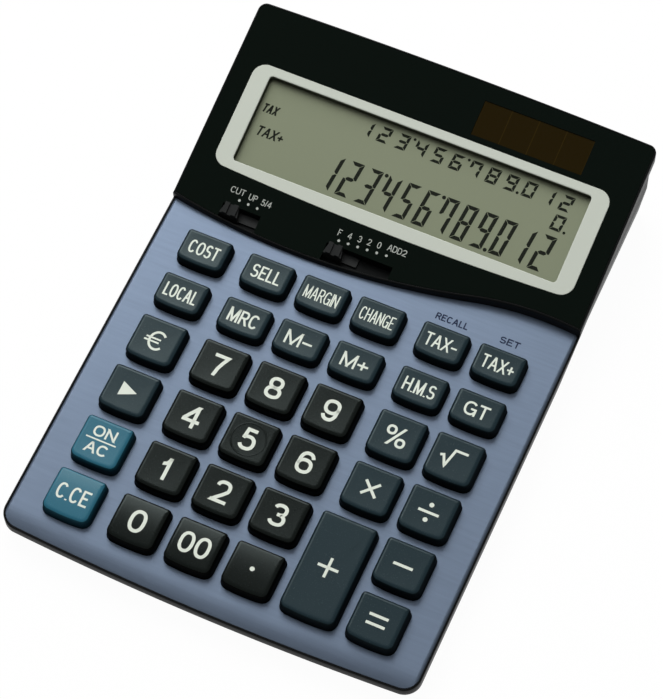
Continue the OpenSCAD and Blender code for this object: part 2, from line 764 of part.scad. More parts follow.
module main_board() {
    color([0.2, 0.36, 0.2]) on_deck() difference() {
        block(-board_w / 2, board_w / 2, board_front, board_back, board_under, board_top);
        for (p = BOARD_POSTS)
            translate(p) cylinder(d = board_screw_d + 2 * screw_clear, h = far, center = true);
    }
}

module board_screw() {
    translate([0, 0, -board_head_h]) cylinder(d = board_head_d, h = board_head_h);
    cylinder(d = board_screw_d, h = board_screw_l);
}

module board_screws() {
    color([0.65, 0.65, 0.62]) {
        on_deck() for (p = BOARD_POSTS)
            translate([p[0], p[1], board_under]) board_screw();
        on_panel() for (p = DISPLAY_POSTS)
            translate([p[0], p[1], display_board_under]) board_screw();
    }
}

module rubber_dome_mat() {
    color([0.8, 0.8, 0.76]) on_deck() difference() {
        union() {
            block(mat_edge - board_w / 2, board_w / 2 - mat_edge, board_front, row_1_y + small_d / 2,
                board_top, mat_top);
            for (k = KEYS)
                translate([key_x(k[1], k[2]), key_y(k[2]), mat_top])
                    cylinder(d1 = dome_d, d2 = plunger_d + dome_seat, h = dome_h);
        }
        for (k = KEYS)
            translate([key_x(k[1], k[2]), key_y(k[2]), board_top])
                cylinder(d1 = dome_d - 2 * dome_wall, d2 = plunger_d + dome_seat - dome_wall,
                    h = mat_t + dome_h - dome_roof);
        for (p = BOARD_POSTS)
            translate(p) cylinder(d = board_post_d + 2 * post_clear, h = far, center = true);
    }
}

module slider(first, left, right) {
    knob_low = shelf_top + slide_clear;
    on_deck() translate([first, 0, 0]) {
        block(-knob_w / 2 - left, knob_w / 2 + right, strip_front, strip_front + strip_d,
            shelf_top, shelf_top + strip_t);
        block(-stem_w / 2, stem_w / 2, stem_y - stem_d / 2, stem_y + stem_d / 2,
            stem_low, shelf_top + merge);
        intersection() {
            slab([[-knob_w / 2, knob_y], [knob_w / 2, knob_y], [knob_back_w / 2, knob_y + knob_d],
                [-knob_back_w / 2, knob_y + knob_d]], knob_low, far);
            union() {
                tilted() block(-far, far, -far, far, -far, knob_rise);
                tilted() for (x = [-1, 1])
                    block((2 * x - 1) * knob_back_w / 6, (2 * x + 1) * knob_back_w / 6, -far, far,
                        0, knob_rise + ridge_h);
            }
        }
    }
}

module rounding_slider() {
    color([0.16, 0.17, 0.17]) slider(SWITCHES[0][0], SWITCHES[0][2], SWITCHES[0][3]);
}

module decimal_slider() {
    color([0.16, 0.17, 0.17]) slider(SWITCHES[1][0], SWITCHES[1][2], SWITCHES[1][3]);
}

// Bent contact between a slider's stem and the board below it
module wiper(first) {
    low = board_top + wiper_t / 2;
    high = stem_low - wiper_t / 2;
    path = [[-wiper_foot, low], [-wiper_bend, low], [-wiper_top, high],
        [wiper_top, high], [wiper_bend, low], [wiper_foot, low]];
    color([0.78, 0.6, 0.33]) on_deck() translate([first, stem_y + stem_d / 2 - wiper_edge, 0])
        rotate([90, 0, 0]) linear_extrude(stem_d - 2 * wiper_edge) polygon(strip_outline(path, wiper_t));
}

module display_board() {
    color([0.2, 0.36, 0.2]) on_panel() difference() {
        block(-glass_w / 2 - holder_wall, glass_w / 2 + holder_wall,
            post_low - post_d / 2 - display_board_edge, post_high + post_d / 2 + display_board_edge,
            display_board_under, display_board_top);
        for (p = DISPLAY_POSTS)
            translate(p) cylinder(d = board_screw_d + 2 * screw_clear, h = far, center = true);
    }
}

module controller_chip() {
    chip_w = 14;
    chip_t = 1.6;
    lift = 0.2;
    leg_w = 0.5;
    leg_t = 0.5;
    leg_out = 1.2;
    leg_pitch = 1.2;
    color([0.1, 0.1, 0.1]) on_panel() translate([0, window_start + window_h / 2, display_board_under]) {
        block(-chip_w / 2, chip_w / 2, -chip_w / 2, chip_w / 2, -chip_t - lift, -lift);
        for (i = [-5:5])
            block(i * leg_pitch - leg_w / 2, i * leg_pitch + leg_w / 2,
                -chip_w / 2 - leg_out, chip_w / 2 + leg_out, -leg_t, 0);
    }
}

module lcd_holder() {
    side = glass_w / 2 + holder_wall;
    low = glass_start - holder_wall;
    high = glass_start + glass_l + holder_wall;
    color([0.85, 0.85, 0.82]) on_panel() difference() {
        block(-side, side, low, high, display_board_top, housing_under);
        block(-glass_w / 2 - holder_clear, glass_w / 2 + holder_clear,
            glass_start - holder_clear, glass_start + glass_l + holder_clear, glass_under, far);
        block(-glass_w / 2 + glass_lap, glass_w / 2 - glass_lap,
            glass_start + zebra_edge, glass_start + glass_l - glass_lap, -far, far);
    }
}

module zebra_strip() {
    color([0.5, 0.5, 0.52]) on_panel()
        block(-glass_w / 2 + glass_lap + holder_clear, glass_w / 2 - glass_lap - holder_clear,
            glass_start + zebra_edge + holder_clear, glass_start + zebra_edge + zebra_w,
            display_board_top, glass_under);
}

// Flat cable from under the main board to under the display board
module ribbon_cable() {
    cable_t = 0.4;
    cable_w = 26;
    low = board_under - cable_t / 2;
    flat = 7;
    out = [board_back + cable_t, low];
    function panel_point(y, n) = [wave_y + y * cos(panel_tilt) - n * sin(panel_tilt),
        wave_step + y * sin(panel_tilt) + n * cos(panel_tilt)];
    under = display_board_under - cable_t / 2;
    bend = post_low + post_d;
    start = panel_point(bend, under);
    pull = 4.5;
    handle_1 = out + [pull, 0];
    handle_2 = panel_point(bend - pull, under);
    curve = [for (i = [0:12]) let (t = i / 12, s = 1 - t)
        s * s * s * out + 3 * s * s * t * handle_1 + 3 * s * t * t * handle_2 + t * t * t * start];
    path = concat([[board_back - flat, low]], curve, [panel_point(bend + flat, under)]);
    color([0.85, 0.83, 0.75]) on_deck() rotate([90, 0, 90]) translate([0, 0, -cable_w / 2])
        linear_extrude(cable_w) polygon(strip_outline(path, cable_t));
}

// Hollow key cap with a flange under the deck and a plunger on its dome
module key_cap(column, row, shade) {
    w = key_width(row);
    d = key_depth(row);
    low = deck_under - flange_t;
    inner = key_lean + key_wall;
    edge_in = key_lean + key_edge / 3;
    color(shade) on_deck() translate([key_x(column, row), key_y(row), 0]) {
        difference() {
            union() {
                key_loft(w, d, [[0, low], [0, 0], [key_lean, key_rise - key_edge],
                    [edge_in, key_rise - key_edge / 4], [key_lean + key_edge, key_rise]]);
                slab(key_outline(w, d, -key_clear - flange_lap), low, deck_under);
            }
            slab(key_outline(w, d, inner), low - cut, key_rise - key_wall);
        }
        translate([0, 0, dome_top]) cylinder(d = plunger_d, h = key_rise - key_wall / 2 - dome_top);
    }
}

upper_case();
face_plate();
display_panel();
window_bezel();
window_lens();
lcd_glass();
solar_cell();
lower_case();
rubber_feet();
case_screws();
battery_door();
button_cell();
battery_contacts();
main_board();
board_screws();
rubber_dome_mat();
rounding_slider();
decimal_slider();
wiper(SWITCHES[0][0]);  // rounding_wiper
wiper(SWITCHES[1][0]);  // decimal_wiper
display_board();
controller_chip();
lcd_holder();
zebra_strip();
ribbon_cable();
for (k = KEYS)
    key_cap(k[1], k[2], k[3]);
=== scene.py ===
import math
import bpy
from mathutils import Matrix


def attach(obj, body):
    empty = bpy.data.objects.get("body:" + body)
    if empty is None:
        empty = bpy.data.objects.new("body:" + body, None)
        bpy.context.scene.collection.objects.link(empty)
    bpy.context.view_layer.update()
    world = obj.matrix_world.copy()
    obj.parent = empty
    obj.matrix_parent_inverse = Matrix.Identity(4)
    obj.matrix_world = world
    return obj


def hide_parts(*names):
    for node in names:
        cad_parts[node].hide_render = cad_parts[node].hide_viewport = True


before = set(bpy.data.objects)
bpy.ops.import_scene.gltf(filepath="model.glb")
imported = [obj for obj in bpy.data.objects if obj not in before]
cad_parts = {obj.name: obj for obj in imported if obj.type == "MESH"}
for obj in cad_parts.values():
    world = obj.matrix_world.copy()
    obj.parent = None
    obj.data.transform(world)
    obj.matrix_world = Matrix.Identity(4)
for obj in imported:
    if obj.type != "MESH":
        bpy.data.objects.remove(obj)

from types import SimpleNamespace

import bmesh
import bpy
import numpy as np
from bpy.props import FloatProperty, FloatVectorProperty, PointerProperty
from mathutils import Matrix, Vector

bl_info = {
    "name": "Desktop Calculator Looks",
    "version": (1, 0, 0),
    "blender": (4, 5, 0),
    "location": "3D View > Sidebar > Calculator",
    "description": "Builds the looks of a desktop calculator around its packed CAD parts",
    "category": "Add Mesh",
}

MM = 0.001

# Column and row of each key, its legend and its colour
KEYS = {
    "key_cost": (0, 1, "COST", "slate"), "key_sell": (1, 1, "SELL", "slate"),
    "key_margin": (2, 1, "MARGIN", "slate"), "key_change": (3, 1, "CHANGE", "slate"),
    "key_tax_minus": (4, 1, "TAX-", "slate"), "key_tax_plus": (5, 1, "TAX+", "slate"),
    "key_local": (0, 2, "LOCAL", "slate"), "key_mrc": (1, 2, "MRC", "slate"),
    "key_m_minus": (2, 2, "M-", "slate"), "key_m_plus": (3, 2, "M+", "slate"),
    "key_hms": (4, 2, "H.M.S", "slate"), "key_gt": (5, 2, "GT", "slate"),
    "key_euro": (0, 3, "euro", "slate"), "key_7": (1, 3, "7", "charcoal"),
    "key_8": (2, 3, "8", "charcoal"), "key_9": (3, 3, "9", "charcoal"),
    "key_percent": (4, 3, "%", "slate"), "key_root": (5, 3, "root", "slate"),
    "key_back": (0, 4, "arrow", "slate"), "key_4": (1, 4, "4", "charcoal"),
    "key_5": (2, 4, "5", "charcoal"), "key_6": (3, 4, "6", "charcoal"),
    "key_times": (4, 4, "times", "slate"), "key_divide": (5, 4, "divide", "slate"),
    "key_on_ac": (0, 5, "ON/AC", "teal"), "key_1": (1, 5, "1", "charcoal"),
    "key_2": (2, 5, "2", "charcoal"), "key_3": (3, 5, "3", "charcoal"),
    "key_plus": (4, 5.5, "plus", "slate"), "key_minus": (5, 5, "minus", "slate"),
    "key_c_ce": (0, 6, "C.CE", "teal"), "key_0": (1, 6, "0", "charcoal"),
    "key_00": (2, 6, "00", "charcoal"), "key_point": (3, 6, "dot", "charcoal"),
    "key_equals": (5, 6, "equals", "slate"),
}
COLUMN_X = (-52.8, -30.0, -10.0, 10.0, 32.8, 52.8)
ROW_Y = {1: 115.0, 2: 97.3, 3: 78.4, 4: 58.4, 5: 38.4, 5.5: 28.4, 6: 18.4}

# Legend sizes on the key tops: height, width and stroke in millimetres
LEGEND_SIZES = {
    "COST": (5.0, 10.6, 0.62), "SELL": (5.0, 10.4, 0.62), "MARGIN": (4.8, 12.0, 0.42),
    "CHANGE": (4.8, 12.0, 0.42), "TAX-": (4.9, 11.2, 0.6), "TAX+": (4.9, 11.2, 0.6),
    "LOCAL": (5.0, 11.6, 0.6), "MRC": (5.2, 10.6, 0.72), "M-": (5.2, 9.4, 0.72),
    "M+": (5.2, 9.4, 0.72), "H.M.S": (5.0, 11.0, 0.64), "GT": (5.0, 8.4, 0.72),
    "C.CE": (5.6, 11.2, 0.74), "ON": (3.9, 8.0, 0.68), "AC": (3.9, 7.8, 0.68),
    "00": (7.4, 10.6, 1.1), "%": (7.2, 7.6, 0.85),
}
DIGIT_SIZE = (8.0, None, 1.2)
LEGEND_PLACE = (-0.15, 0.1)
LEGEND_LIFT = 0.02

# Key caps: the flange under the deck, the fillet and where it is wider, and how many rows from the flange up
# take the darker side finish, a painted shade
FLANGE_OUT, FLANGE_LOW, FLANGE_TOP = 1.1, -3.4, -2.42
FILLET, FILLET_RIGHT, FILLET_FRONT = 1.15, 0.7, 0.45
SIDE_ROWS = 11

# Key tops: where the dish ends, the share of it that runs from side to side, and the rings of the mesh
TOP_EDGE, DISH_FULL = 1.1, 0.35
TOP_RINGS = (0.96, 0.88, 0.76, 0.62, 0.46, 0.3, 0.15, 0.05)

# Rows of the tall key and of the domed keys
TALL_ROW, FRONT_ROW = 5.5, 6

# Angle in degrees from which an edge of the shell, the keys and the frame is sharp
SHARP = 50.0

# The raised ring on the middle key: its radius, and the width, side and lift of each edge
RING_R = 5.75
RING_EDGES = ((0.6, 0, -0.02), (0.25, 0, 0.16), (0.25, 1, 0.16), (0.6, 1, -0.02))

# Slide switches: the knob's left place and its travel, and how far the notch goes round it
SWITCHES = ((-51.5, 6.72), (-13.5, 16.8))
NOTCH_SIDE, NOTCH_FLOOR, NOTCH_TOP, NOTCH_FRONT, NOTCH_BACK = 3.52, -0.6, 0.03, 0.05, 0.02

# Face plate: start, end and step of the cuts across it and along its roll, and a cut beside its edges
CUTS_X, CUTS_Y, EDGE_CUT = (-70.0, 70.0, 4.0), (1.0, 10.0, 0.5), 0.06

# Inset and rise of the skirt's lower edge, and the foot and the ends of the lip along the wave
SKIRT_EDGE = ((0.0, 0.5), (0.12, 0.15), (0.45, 0.0), (2.3, 0.0))
LIP_FOOT, LIP_END = -0.62, 0.02

# Printing: lift, how much of the wave it follows, height and stroke of the words, marks with their first
# place and count, and words with place and width
PRINT_LIFT, FOLLOW = 0.03, 0.75
SWITCH_H, SWITCH_STROKE = 2.25, 0.27
PLATE_H, PLATE_STROKE, DISPLAY_STROKE = 2.5, 0.46, 0.62
MARK_PITCH, MARK_R, MARK_Y, WORD_Y = 3.36, 0.46, 9.0, 11.75
SWITCH_MARKS = ((-50.3, 3), (-13.6, 6))
SWITCH_WORDS = (("CUT", -52.0, 5.2), ("UP", -46.3, 3.0), ("5/4", -41.3, 3.7), ("F", -14.3, 1.2),
                ("4", -10.7, 1.4), ("3", -7.2, 1.3), ("2", -3.85, 1.3), ("0", -0.4, 1.3), ("ADD2", 5.9, 6.7))
PLATE_WORDS = (("RECALL", 32.0, 125.8, 11.4), ("SET", 52.4, 126.1, 7.0))

# Display: digits with right end, low edge, pitch, width, height, stroke and slit, words with place and size
DISPLAY_ROWS = (("123'456'789.012", 53.1, 24.55, 6.96, 4.6, 12.95, 1.32, 0.11),
                ("123'456'789.012", 53.4, 46.95, 6.58, 4.0, 5.6, 0.98, 0.1),
                ("0.", 53.4, 39.65, 6.58, 4.0, 5.6, 0.98, 0.1))
DISPLAY_WORDS = (("TAX", -54.35, 44.1, 3.2, 5.4), ("TAX+", -50.9, 35.9, 3.6, 9.6))
DIGIT_LEAN, WORD_LEAN = 0.108, 0.16
POINT_R, POINT_RISE, POINT_X = 0.52, 0.7, 0.52
PANE_LEVEL, THROAT_LEVEL, PANE_GAP = -2.3, -2.99, 0.05

# Pale frame: inset and height of its outer edge, and distance from the window and height of its inner edge
FRAME_OUTSIDE = ((0.0, -0.6), (0.0, -0.12), (0.05, -0.03), (0.16, 0.02), (0.22, 0.02))
FRAME_INSIDE = ((0.4, 0.02), (0.3, 0.02), (0.12, -0.04), (0.02, -0.25))

# Solar cell: where its parts start, and their width
SOLAR_START, SOLAR_PART = 12.7, 9.85

# Strokes: the longest straight part, and a box that cuts no end
STROKE_STEP = 0.6
OPEN_BOX = (-1e6, 1e6, -1e6, 1e6)

# Camera in the deck's frame, in millimetres: axes as columns, place, lens, and the picture's height in pixels
CAMERA_AXES = ((0.9109, -0.3603, 0.2008), (0.4121, 0.8181, -0.4012), (-0.0197, 0.4483, 0.8937))
CAMERA_PLACE = (184.5, -267.95, 820.1)
CAMERA_LENS, SENSOR_W, PICTURE_H = 144.60, 36.0, 699

# Floor's half width in metres, and lights: place, target, size, power and whether glossy faces show them
FLOOR_HALF = 4.0
LIGHTS = (("back_light", (-0.74, 1.0, 1.24), (0, 0.02, 0), 1.1, 16.0, True),
          ("top_light", (-0.34, 0.36, 1.68), (0, 0, 0), 1.2, 27.0, False))

# Plain finishes inside and underneath: linear colour, roughness and metal
PLAIN = {
    "foot_rubber": ((0.02, 0.02, 0.02), 0.8, 0.0), "screw_steel": ((0.5, 0.5, 0.5), 0.35, 1.0),
    "cell_steel": ((0.62, 0.62, 0.62), 0.25, 1.0), "contact_metal": ((0.6, 0.45, 0.22), 0.35, 1.0),
    "board_green": ((0.03, 0.10, 0.04), 0.45, 0.0), "mat_rubber": ((0.5, 0.5, 0.46), 0.7, 0.0),
    "chip_black": ((0.015, 0.015, 0.015), 0.5, 0.0), "holder_white": ((0.6, 0.6, 0.56), 0.6, 0.0),
    "zebra_rubber": ((0.2, 0.2, 0.21), 0.7, 0.0), "cable_film": ((0.55, 0.52, 0.4), 0.4, 0.0),
}


def length(name, millimetres, about):
    return FloatProperty(name=name, description=about, default=millimetres * MM, unit="LENGTH", precision=5)


def angle(name, degrees, about):
    return FloatProperty(name=name, description=about, default=math.radians(degrees), subtype="ANGLE")


def colour(name, default, about):
    return FloatVectorProperty(name=name, description=about, default=default, subtype="COLOR", size=3,
                               min=0.0, max=1.0)


class CalculatorSizes(bpy.types.PropertyGroup):
    """Sizes of the looks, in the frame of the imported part. They are written in millimetres and degrees."""

    deck_tilt: angle("Deck tilt", 2.7, "Tilt of the key deck against the table")
    deck_y: length("Deck front", -101.934, "Place of the deck's front edge")
    deck_z: length("Deck height", 11.6, "Height of the deck's front edge over the table")
    panel_tilt: angle("Panel tilt", 12.3, "Tilt of the display panel against the deck")
    wave_y: length("Wave place", 127.4, "Lowest point of the wave edge behind the deck's front")
    wave_step: length("Wave step", 1.8, "Step from the deck up to the panel")
    wave_left: length("Wave left of middle", 26.6, "Distance of the left arc's centre from the middle")
    wave_left_r: length("Wave left radius", 257.0, "Radius of the wave's left arc")
    wave_right_r: length("Wave right radius", 108.0, "Radius of the wave's right arc")
    wave_turn: angle("Wave turn", 13.75, "Angle at which the wave's two arcs meet")
    case_w: length("Case width", 145.0, "Width of the case")
    case_l: length("Case length", 204.733, "Length of the case along the deck")
    front_bow: length("Front bow", 2.4, "How far the front edge bows out")
    back_bow: length("Back bow", 1.0, "How far the back edge bows out")
    front_corner: length("Front corner", 6.0, "Radius of the front corners")
    back_corner: length("Back corner", 3.0, "Radius of the back corners")
    skirt_h: length("Skirt height", 5.0, "Height of the upper shell's skirt")
    rim_w: length("Rim width", 0.7, "Width of the rim round the plate")
    rim_round: length("Rim rounding", 0.55, "Radius of the rim's outer edge")
    edge_run: length("Plate edge width", 1.1, "Width of the plate's rolled side edges")
    edge_drop: length("Plate edge drop", 0.6, "Fall of the plate's rolled side edges")
    roll_r: length("Plate roll radius", 4.0, "Radius of the packed plate's front roll")
    roll_angle: angle("Plate roll angle", 40.0, "Angle of the packed plate's front roll")
    roll_soft: length("Plate roll width", 6.5, "Width of the shown plate's front roll")
    key_w: length("Key width", 16.7, "Width of a key")
    tall_extra: length("Tall key extra width", 2.5, "Extra width of the tall key, to its left")
    key_d: length("Key depth", 16.3, "Depth of a large key")
    small_d: length("Small key depth", 12.5, "Depth of a small key")
    tall_d: length("Tall key depth", 36.3, "Depth of the tall key")
    key_rise: length("Key height", 4.0, "Height of a key over the plate")
    key_lean: length("Key lean", 0.06, "How far a key's sides lean in")
    key_bow: length("Key front bow", 0.6, "How far a key's front bows out")
    key_back_corner: length("Key back corner", 1.4, "Radius of a key's back corners")
    key_front_corner: length("Key front corner", 2.8, "Radius of a key's front corners")
    key_dish: length("Key dish", 0.10, "Depth of the dish in a key top")
    key_dome: length("Front key dome", 0.34, "Fall of the domed tops of the front row")
    notch_d: length("Switch notch depth", 7.3, "Depth of the switch notches")
    window_w: length("Window width", 117.0, "Width of the window")
    window_low: length("Window start", 22.25, "Front edge of the window on the panel")
    window_high: length("Window end", 54.35, "Back edge of the window on the panel")
    bezel_w: length("Frame width", 129.7, "Width of the pale frame")
    bezel_low: length("Frame start", 17.25, "Front edge of the pale frame on the panel")
    bezel_high: length("Frame end", 57.65, "Back edge of the pale frame on the panel")
    bezel_corner: length("Frame corner", 4.8, "Radius of the pale frame's corners")
    bezel_bow: length("Frame bow", 1.9, "How far the pale frame's front bows out")
    window_corner: length("Window corner", 1.2, "Radius of the window's corners")
    glass_n: length("Display glass depth", -3.0, "Level of the display glass against the panel")


class CalculatorColours(bpy.types.PropertyGroup):
    """Linear colours of the finishes."""

    plate: colour("Plate", (0.163, 0.210, 0.287), "Blue brushed face plate")
    slate: colour("Slate keys", (0.010, 0.0205, 0.0265), "Function keys")
    charcoal: colour("Charcoal keys", (0.0030, 0.0040, 0.0034), "Number keys")
    teal: colour("Teal keys", (0.0205, 0.107, 0.158), "On and clear keys")
    legend: colour("Legends", (0.60, 0.64, 0.565), "Lettering on the keys")
    case: colour("Case", (0.006, 0.0065, 0.0065), "Both shells of the case")
    panel: colour("Panel", (0.0028, 0.0048, 0.0036), "Glossy display panel")
    bezel: colour("Frame", (0.47, 0.50, 0.44), "Pale frame round the window")
    glass: colour("Display", (0.205, 0.228, 0.152), "Ground of the display")
    segment: colour("Segments", (0.010, 0.012, 0.008), "Digits of the display")
    solar: colour("Solar cell", (0.0125, 0.0078, 0.0012), "Solar cell")
    printing: colour("Plate printing", (0.012, 0.018, 0.045), "Words printed on the plate")
    knob: colour("Knobs", (0.018, 0.019, 0.019), "Knobs of the slide switches")


def sizes():
    """The sizes as plain numbers: lengths in millimetres, to a tenth of a micron, and angles in radians."""
    group = bpy.context.scene.calculator_sizes
    plain = SimpleNamespace()
    for prop in group.bl_rna.properties:
        if prop.type == "FLOAT":
            value = getattr(group, prop.identifier)
            setattr(plain, prop.identifier, round(value / MM, 4) if prop.unit == "LENGTH" else value)
    return plain


# Frames of the deck and the panel

def deck_matrix(s):
    return Matrix.Translation((0, s.deck_y, s.deck_z)) @ Matrix.Rotation(s.deck_tilt, 4, "X")


def panel_matrix(s):
    turn = Matrix.Rotation(s.panel_tilt, 4, "X")
    return deck_matrix(s) @ Matrix.Translation((0, s.wave_y, s.wave_step)) @ turn


def to_world(points, matrix):
    """Points in millimetres in a tilted frame, as metres in the part's frame."""
    m = np.array(matrix)
    return (points @ m[:3, :3].T + m[:3, 3]) * MM


# Meshes and pieces

def linked(name, data):
    """A new object of the scene, at the origin."""
    obj = bpy.data.objects.new(name, data)
    bpy.context.scene.collection.objects.link(obj)
    return obj


class Sheet:
    """Collects vertices and faces of one mesh, with a material number per face."""

    def __init__(self):
        self.points, self.faces, self.kinds = np.empty((0, 3)), [], []

    def add(self, points, faces, kind=0):
        """Adds an array of points and an array of faces of equal length that count from the first of them."""
        self.faces += (np.asarray(faces) + len(self.points)).tolist()
        self.kinds += [kind] * len(faces)
        self.points = np.concatenate([self.points, np.asarray(points, float)])

    def rows(self, rows, closed, kind=0, cap=False):
        """Quads between rows of equal length. Closed joins each row's ends, and cap fills the last row."""
        here = np.arange(len(rows) * len(rows[0])).reshape(len(rows), -1)
        after = np.roll(here, -1, axis=1)
        quads = np.stack([here[:-1], after[:-1], after[1:], here[1:]], axis=-1)
        last = here[-1:] + len(self.points)
        self.add(np.concatenate(rows), (quads if closed else quads[:, :-1]).reshape(-1, 4), kind)
        if cap:
            self.faces += last.tolist()
            self.kinds.append(kind)

    def piece(self, name, matrix, materials, body, nodes, slot, angle=40.0):
        """The mesh as an object of the part that rides a body and may stand for CAD nodes."""
        mesh = bpy.data.meshes.new(name)
        mesh.from_pydata(to_world(self.points, matrix), [], self.faces)
        mesh.polygons.foreach_set("material_index", self.kinds)
        mesh.polygons.foreach_set("use_smooth", [True] * len(self.faces))
        for m in materials:
            mesh.materials.append(m)
        mesh.update()
        mesh.set_sharp_from_angle(angle=math.radians(angle))
        obj = linked(name, mesh)
        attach(obj, body)
        if nodes:
            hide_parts(*nodes)


def arc(cx, cy, rx, ry, start, end, steps=10):
    """Points on an ellipse between two angles in degrees."""
    a = np.radians(np.linspace(start, end, steps + 1))
    return np.column_stack([cx + rx * np.cos(a), cy + ry * np.sin(a)])


def corner_arc(cx, cy, r, start, steps):
    """A quarter circle from an angle in degrees on, and its outward normals."""
    return arc(cx, cy, r, r, start, start + 90, steps), arc(0, 0, 1, 1, start, start + 90, steps)


def outline(x, low, high, r_low, r_high, bow, arc_steps=8, edge_steps=10):
    """Closed outline of half width x with round corners and a lower edge that bows out as a parabola.

    Returns points and outward normals, in the same order for every size, from the left of the lower edge.
    """
    reach = x - r_low
    corner = low + bow * (reach / x) ** 2 + r_low
    u = np.linspace(-1, 1, 2 * edge_steps + 1)[1:-1] * reach
    front = np.column_stack([u, low + bow * (u / x) ** 2])
    front_n = np.column_stack([2 * bow * u / x ** 2, -np.ones_like(u)])
    side = np.linspace(0, 1, edge_steps + 2)[1:-1]
    top = np.linspace(1, -1, edge_steps + 2)[1:-1] * (x - r_high)

    def straight(points, normal):
        return np.asarray(points), np.tile(normal, (len(points), 1))

    up = corner + side * (high - r_high - corner)
    parts = [(front, front_n), corner_arc(reach, corner, r_low, -90, arc_steps),
             straight(np.column_stack([np.full_like(up, x), up]), (1.0, 0.0)),
             corner_arc(x - r_high, high - r_high, r_high, 0, arc_steps),
             straight(np.column_stack([top, np.full_like(top, high)]), (0.0, 1.0)),
             corner_arc(r_high - x, high - r_high, r_high, 90, arc_steps),
             straight(np.column_stack([np.full_like(up, -x), up[::-1]]), (-1.0, 0.0)),
             corner_arc(-reach, corner, r_low, 180, arc_steps)]
    p = np.concatenate([a for a, b in parts])
    n = np.concatenate([b for a, b in parts])
    return p, n / np.linalg.norm(n, axis=1)[:, None]


def lifted(points, z):
    """Flat points with a height, or a height for each."""
    return np.column_stack([points, np.broadcast_to(z, (len(points),))])


# Stroke letters. Each glyph is a width and centre lines in a unit box

def bowl(cx, cy, rx, ry, start, end, steps=14, square=0.86):
    """Points on a superellipse: the cosine and the sine are raised to a power below one."""
    a = np.radians(np.linspace(start, end, steps + 1))
    c, s = np.cos(a), np.sin(a)
    x, y = np.sign(c) * np.abs(c) ** square, np.sign(s) * np.abs(s) ** square
    return np.column_stack([cx + rx * x, cy + ry * y])


def joined(*parts):
    return np.concatenate([np.asarray(p, float).reshape(-1, 2) for p in parts])


def glyphs():
    """Width of each letter against its height, and its strokes in a box one by one."""
    ring = bowl(.5, .5, .5, .5, 0, 360, 36)
    six = [joined(bowl(.52, .56, .49, .44, 25, 180), [(0.0, .33)]), bowl(.5, .315, .5, .315, 0, 360, 30)]
    nine = [1 - s for s in six]
    return {
        "A": (.72, [[(0, 0), (.45, 1)], [(.55, 1), (1, 0)], [(.17, .33), (.83, .33)]]),
        "C": (.70, [bowl(.5, .5, .5, .5, 38, 322, 26)]),
        "D": (.70, [joined([(0, 0), (0, 1), (.4, 1)], bowl(.4, .5, .6, .5, 80, -80), [(.4, 0), (0, 0)])]),
        "E": (.60, [[(1, 1), (0, 1), (0, 0), (1, 0)], [(0, .52), (.93, .52)]]),
        "F": (.56, [[(1, 1), (0, 1), (0, 0)], [(0, .5), (.88, .5)]]),
        "G": (.74, [bowl(.5, .5, .5, .5, 40, 335, 26), [(.55, .46), (1, .46), (1, 0)]]),
        "H": (.68, [[(0, 0), (0, 1)], [(1, 0), (1, 1)], [(0, .52), (1, .52)]]),
        "I": (.0, [[(.5, 0), (.5, 1)]]),
        "L": (.55, [[(0, 1), (0, 0), (1, 0)]]),
        "M": (.80, [[(0, 0), (0, 1)], [(.02, 1), (.5, 0)], [(.5, 0), (.98, 1)], [(1, 1), (1, 0)]]),
        "N": (.68, [[(0, 0), (0, 1)], [(.02, 1), (.98, 0)], [(1, 0), (1, 1)]]),
        "O": (.74, [ring]),
        "P": (.62, [[(0, 0), (0, 1)],
                    joined([(0, 1), (.5, 1)], bowl(.55, .74, .45, .26, 80, -80), [(.5, .48), (0, .48)])]),
        "R": (.66, [[(0, 0), (0, 1)],
                    joined([(0, 1), (.5, 1)], bowl(.55, .745, .42, .255, 80, -80), [(.5, .49), (0, .49)]),
                    [(.52, .49), (1, 0)]]),
        "S": (.64, [joined(bowl(.5, .755, .46, .245, 22, 262), bowl(.5, .255, .5, .255, 82, -158))]),
        "T": (.62, [[(0, 1), (1, 1)], [(.5, 1), (.5, 0)]]),
        "U": (.68, [joined([(0, 1), (0, .4)], bowl(.5, .36, .5, .36, 180, 360), [(1, .4), (1, 1)])]),
        "X": (.68, [[(0, 0), (1, 1)], [(0, 1), (1, 0)]]),
        "0": (.70, [ring]),
        "1": (.37, [[(.85, 0), (.85, 1)], [(.0, .745), (.35, .775), (.62, .87), (.78, 1)]]),
        "2": (.69, [joined(bowl(.5, .72, .48, .28, 172, -28), [(.62, .36), (.2, .12), (.03, 0)]),
                    [(0, 0), (1, 0)]]),
        "3": (.69, [joined(bowl(.47, .755, .45, .245, 165, -82), bowl(.47, .26, .52, .26, 82, -165)),
                    [(.33, .515), (.5, .515)]]),
        "4": (.75, [[(.73, 0), (.73, 1)], [(.70, 1), (0, .33)], [(0, .28), (1, .28)]]),
        "5": (.69, [[(.93, 1), (.2, 1), (.1, .5)], bowl(.48, .325, .52, .325, 142, -160)]),
        "6": (.70, six),
        "7": (.66, [joined([(0, 1), (1, 1)], [(.72, .68), (.5, .34), (.4, 0)])]),
        "8": (.71, [bowl(.5, .755, .42, .245, 0, 360, 28), bowl(.5, .258, .5, .258, 0, 360, 30)]),
        "9": (.70, nine),
        "-": (.50, [[(0, .42), (1, .42)]]),
        "+": (.58, [[(0, .42), (1, .42)], [(.5, .08), (.5, .76)]]),
        ".": (.0, [[(.5, .0), (.5, .02)]]),
        "/": (.36, [[(0, -.05), (1, 1.05)]]),
        "%": (1.0, [bowl(.19, .79, .19, .21, 0, 360, 24), bowl(.81, .21, .19, .21, 0, 360, 24),
                    [(.22, 0), (.78, 1)]]),
    }


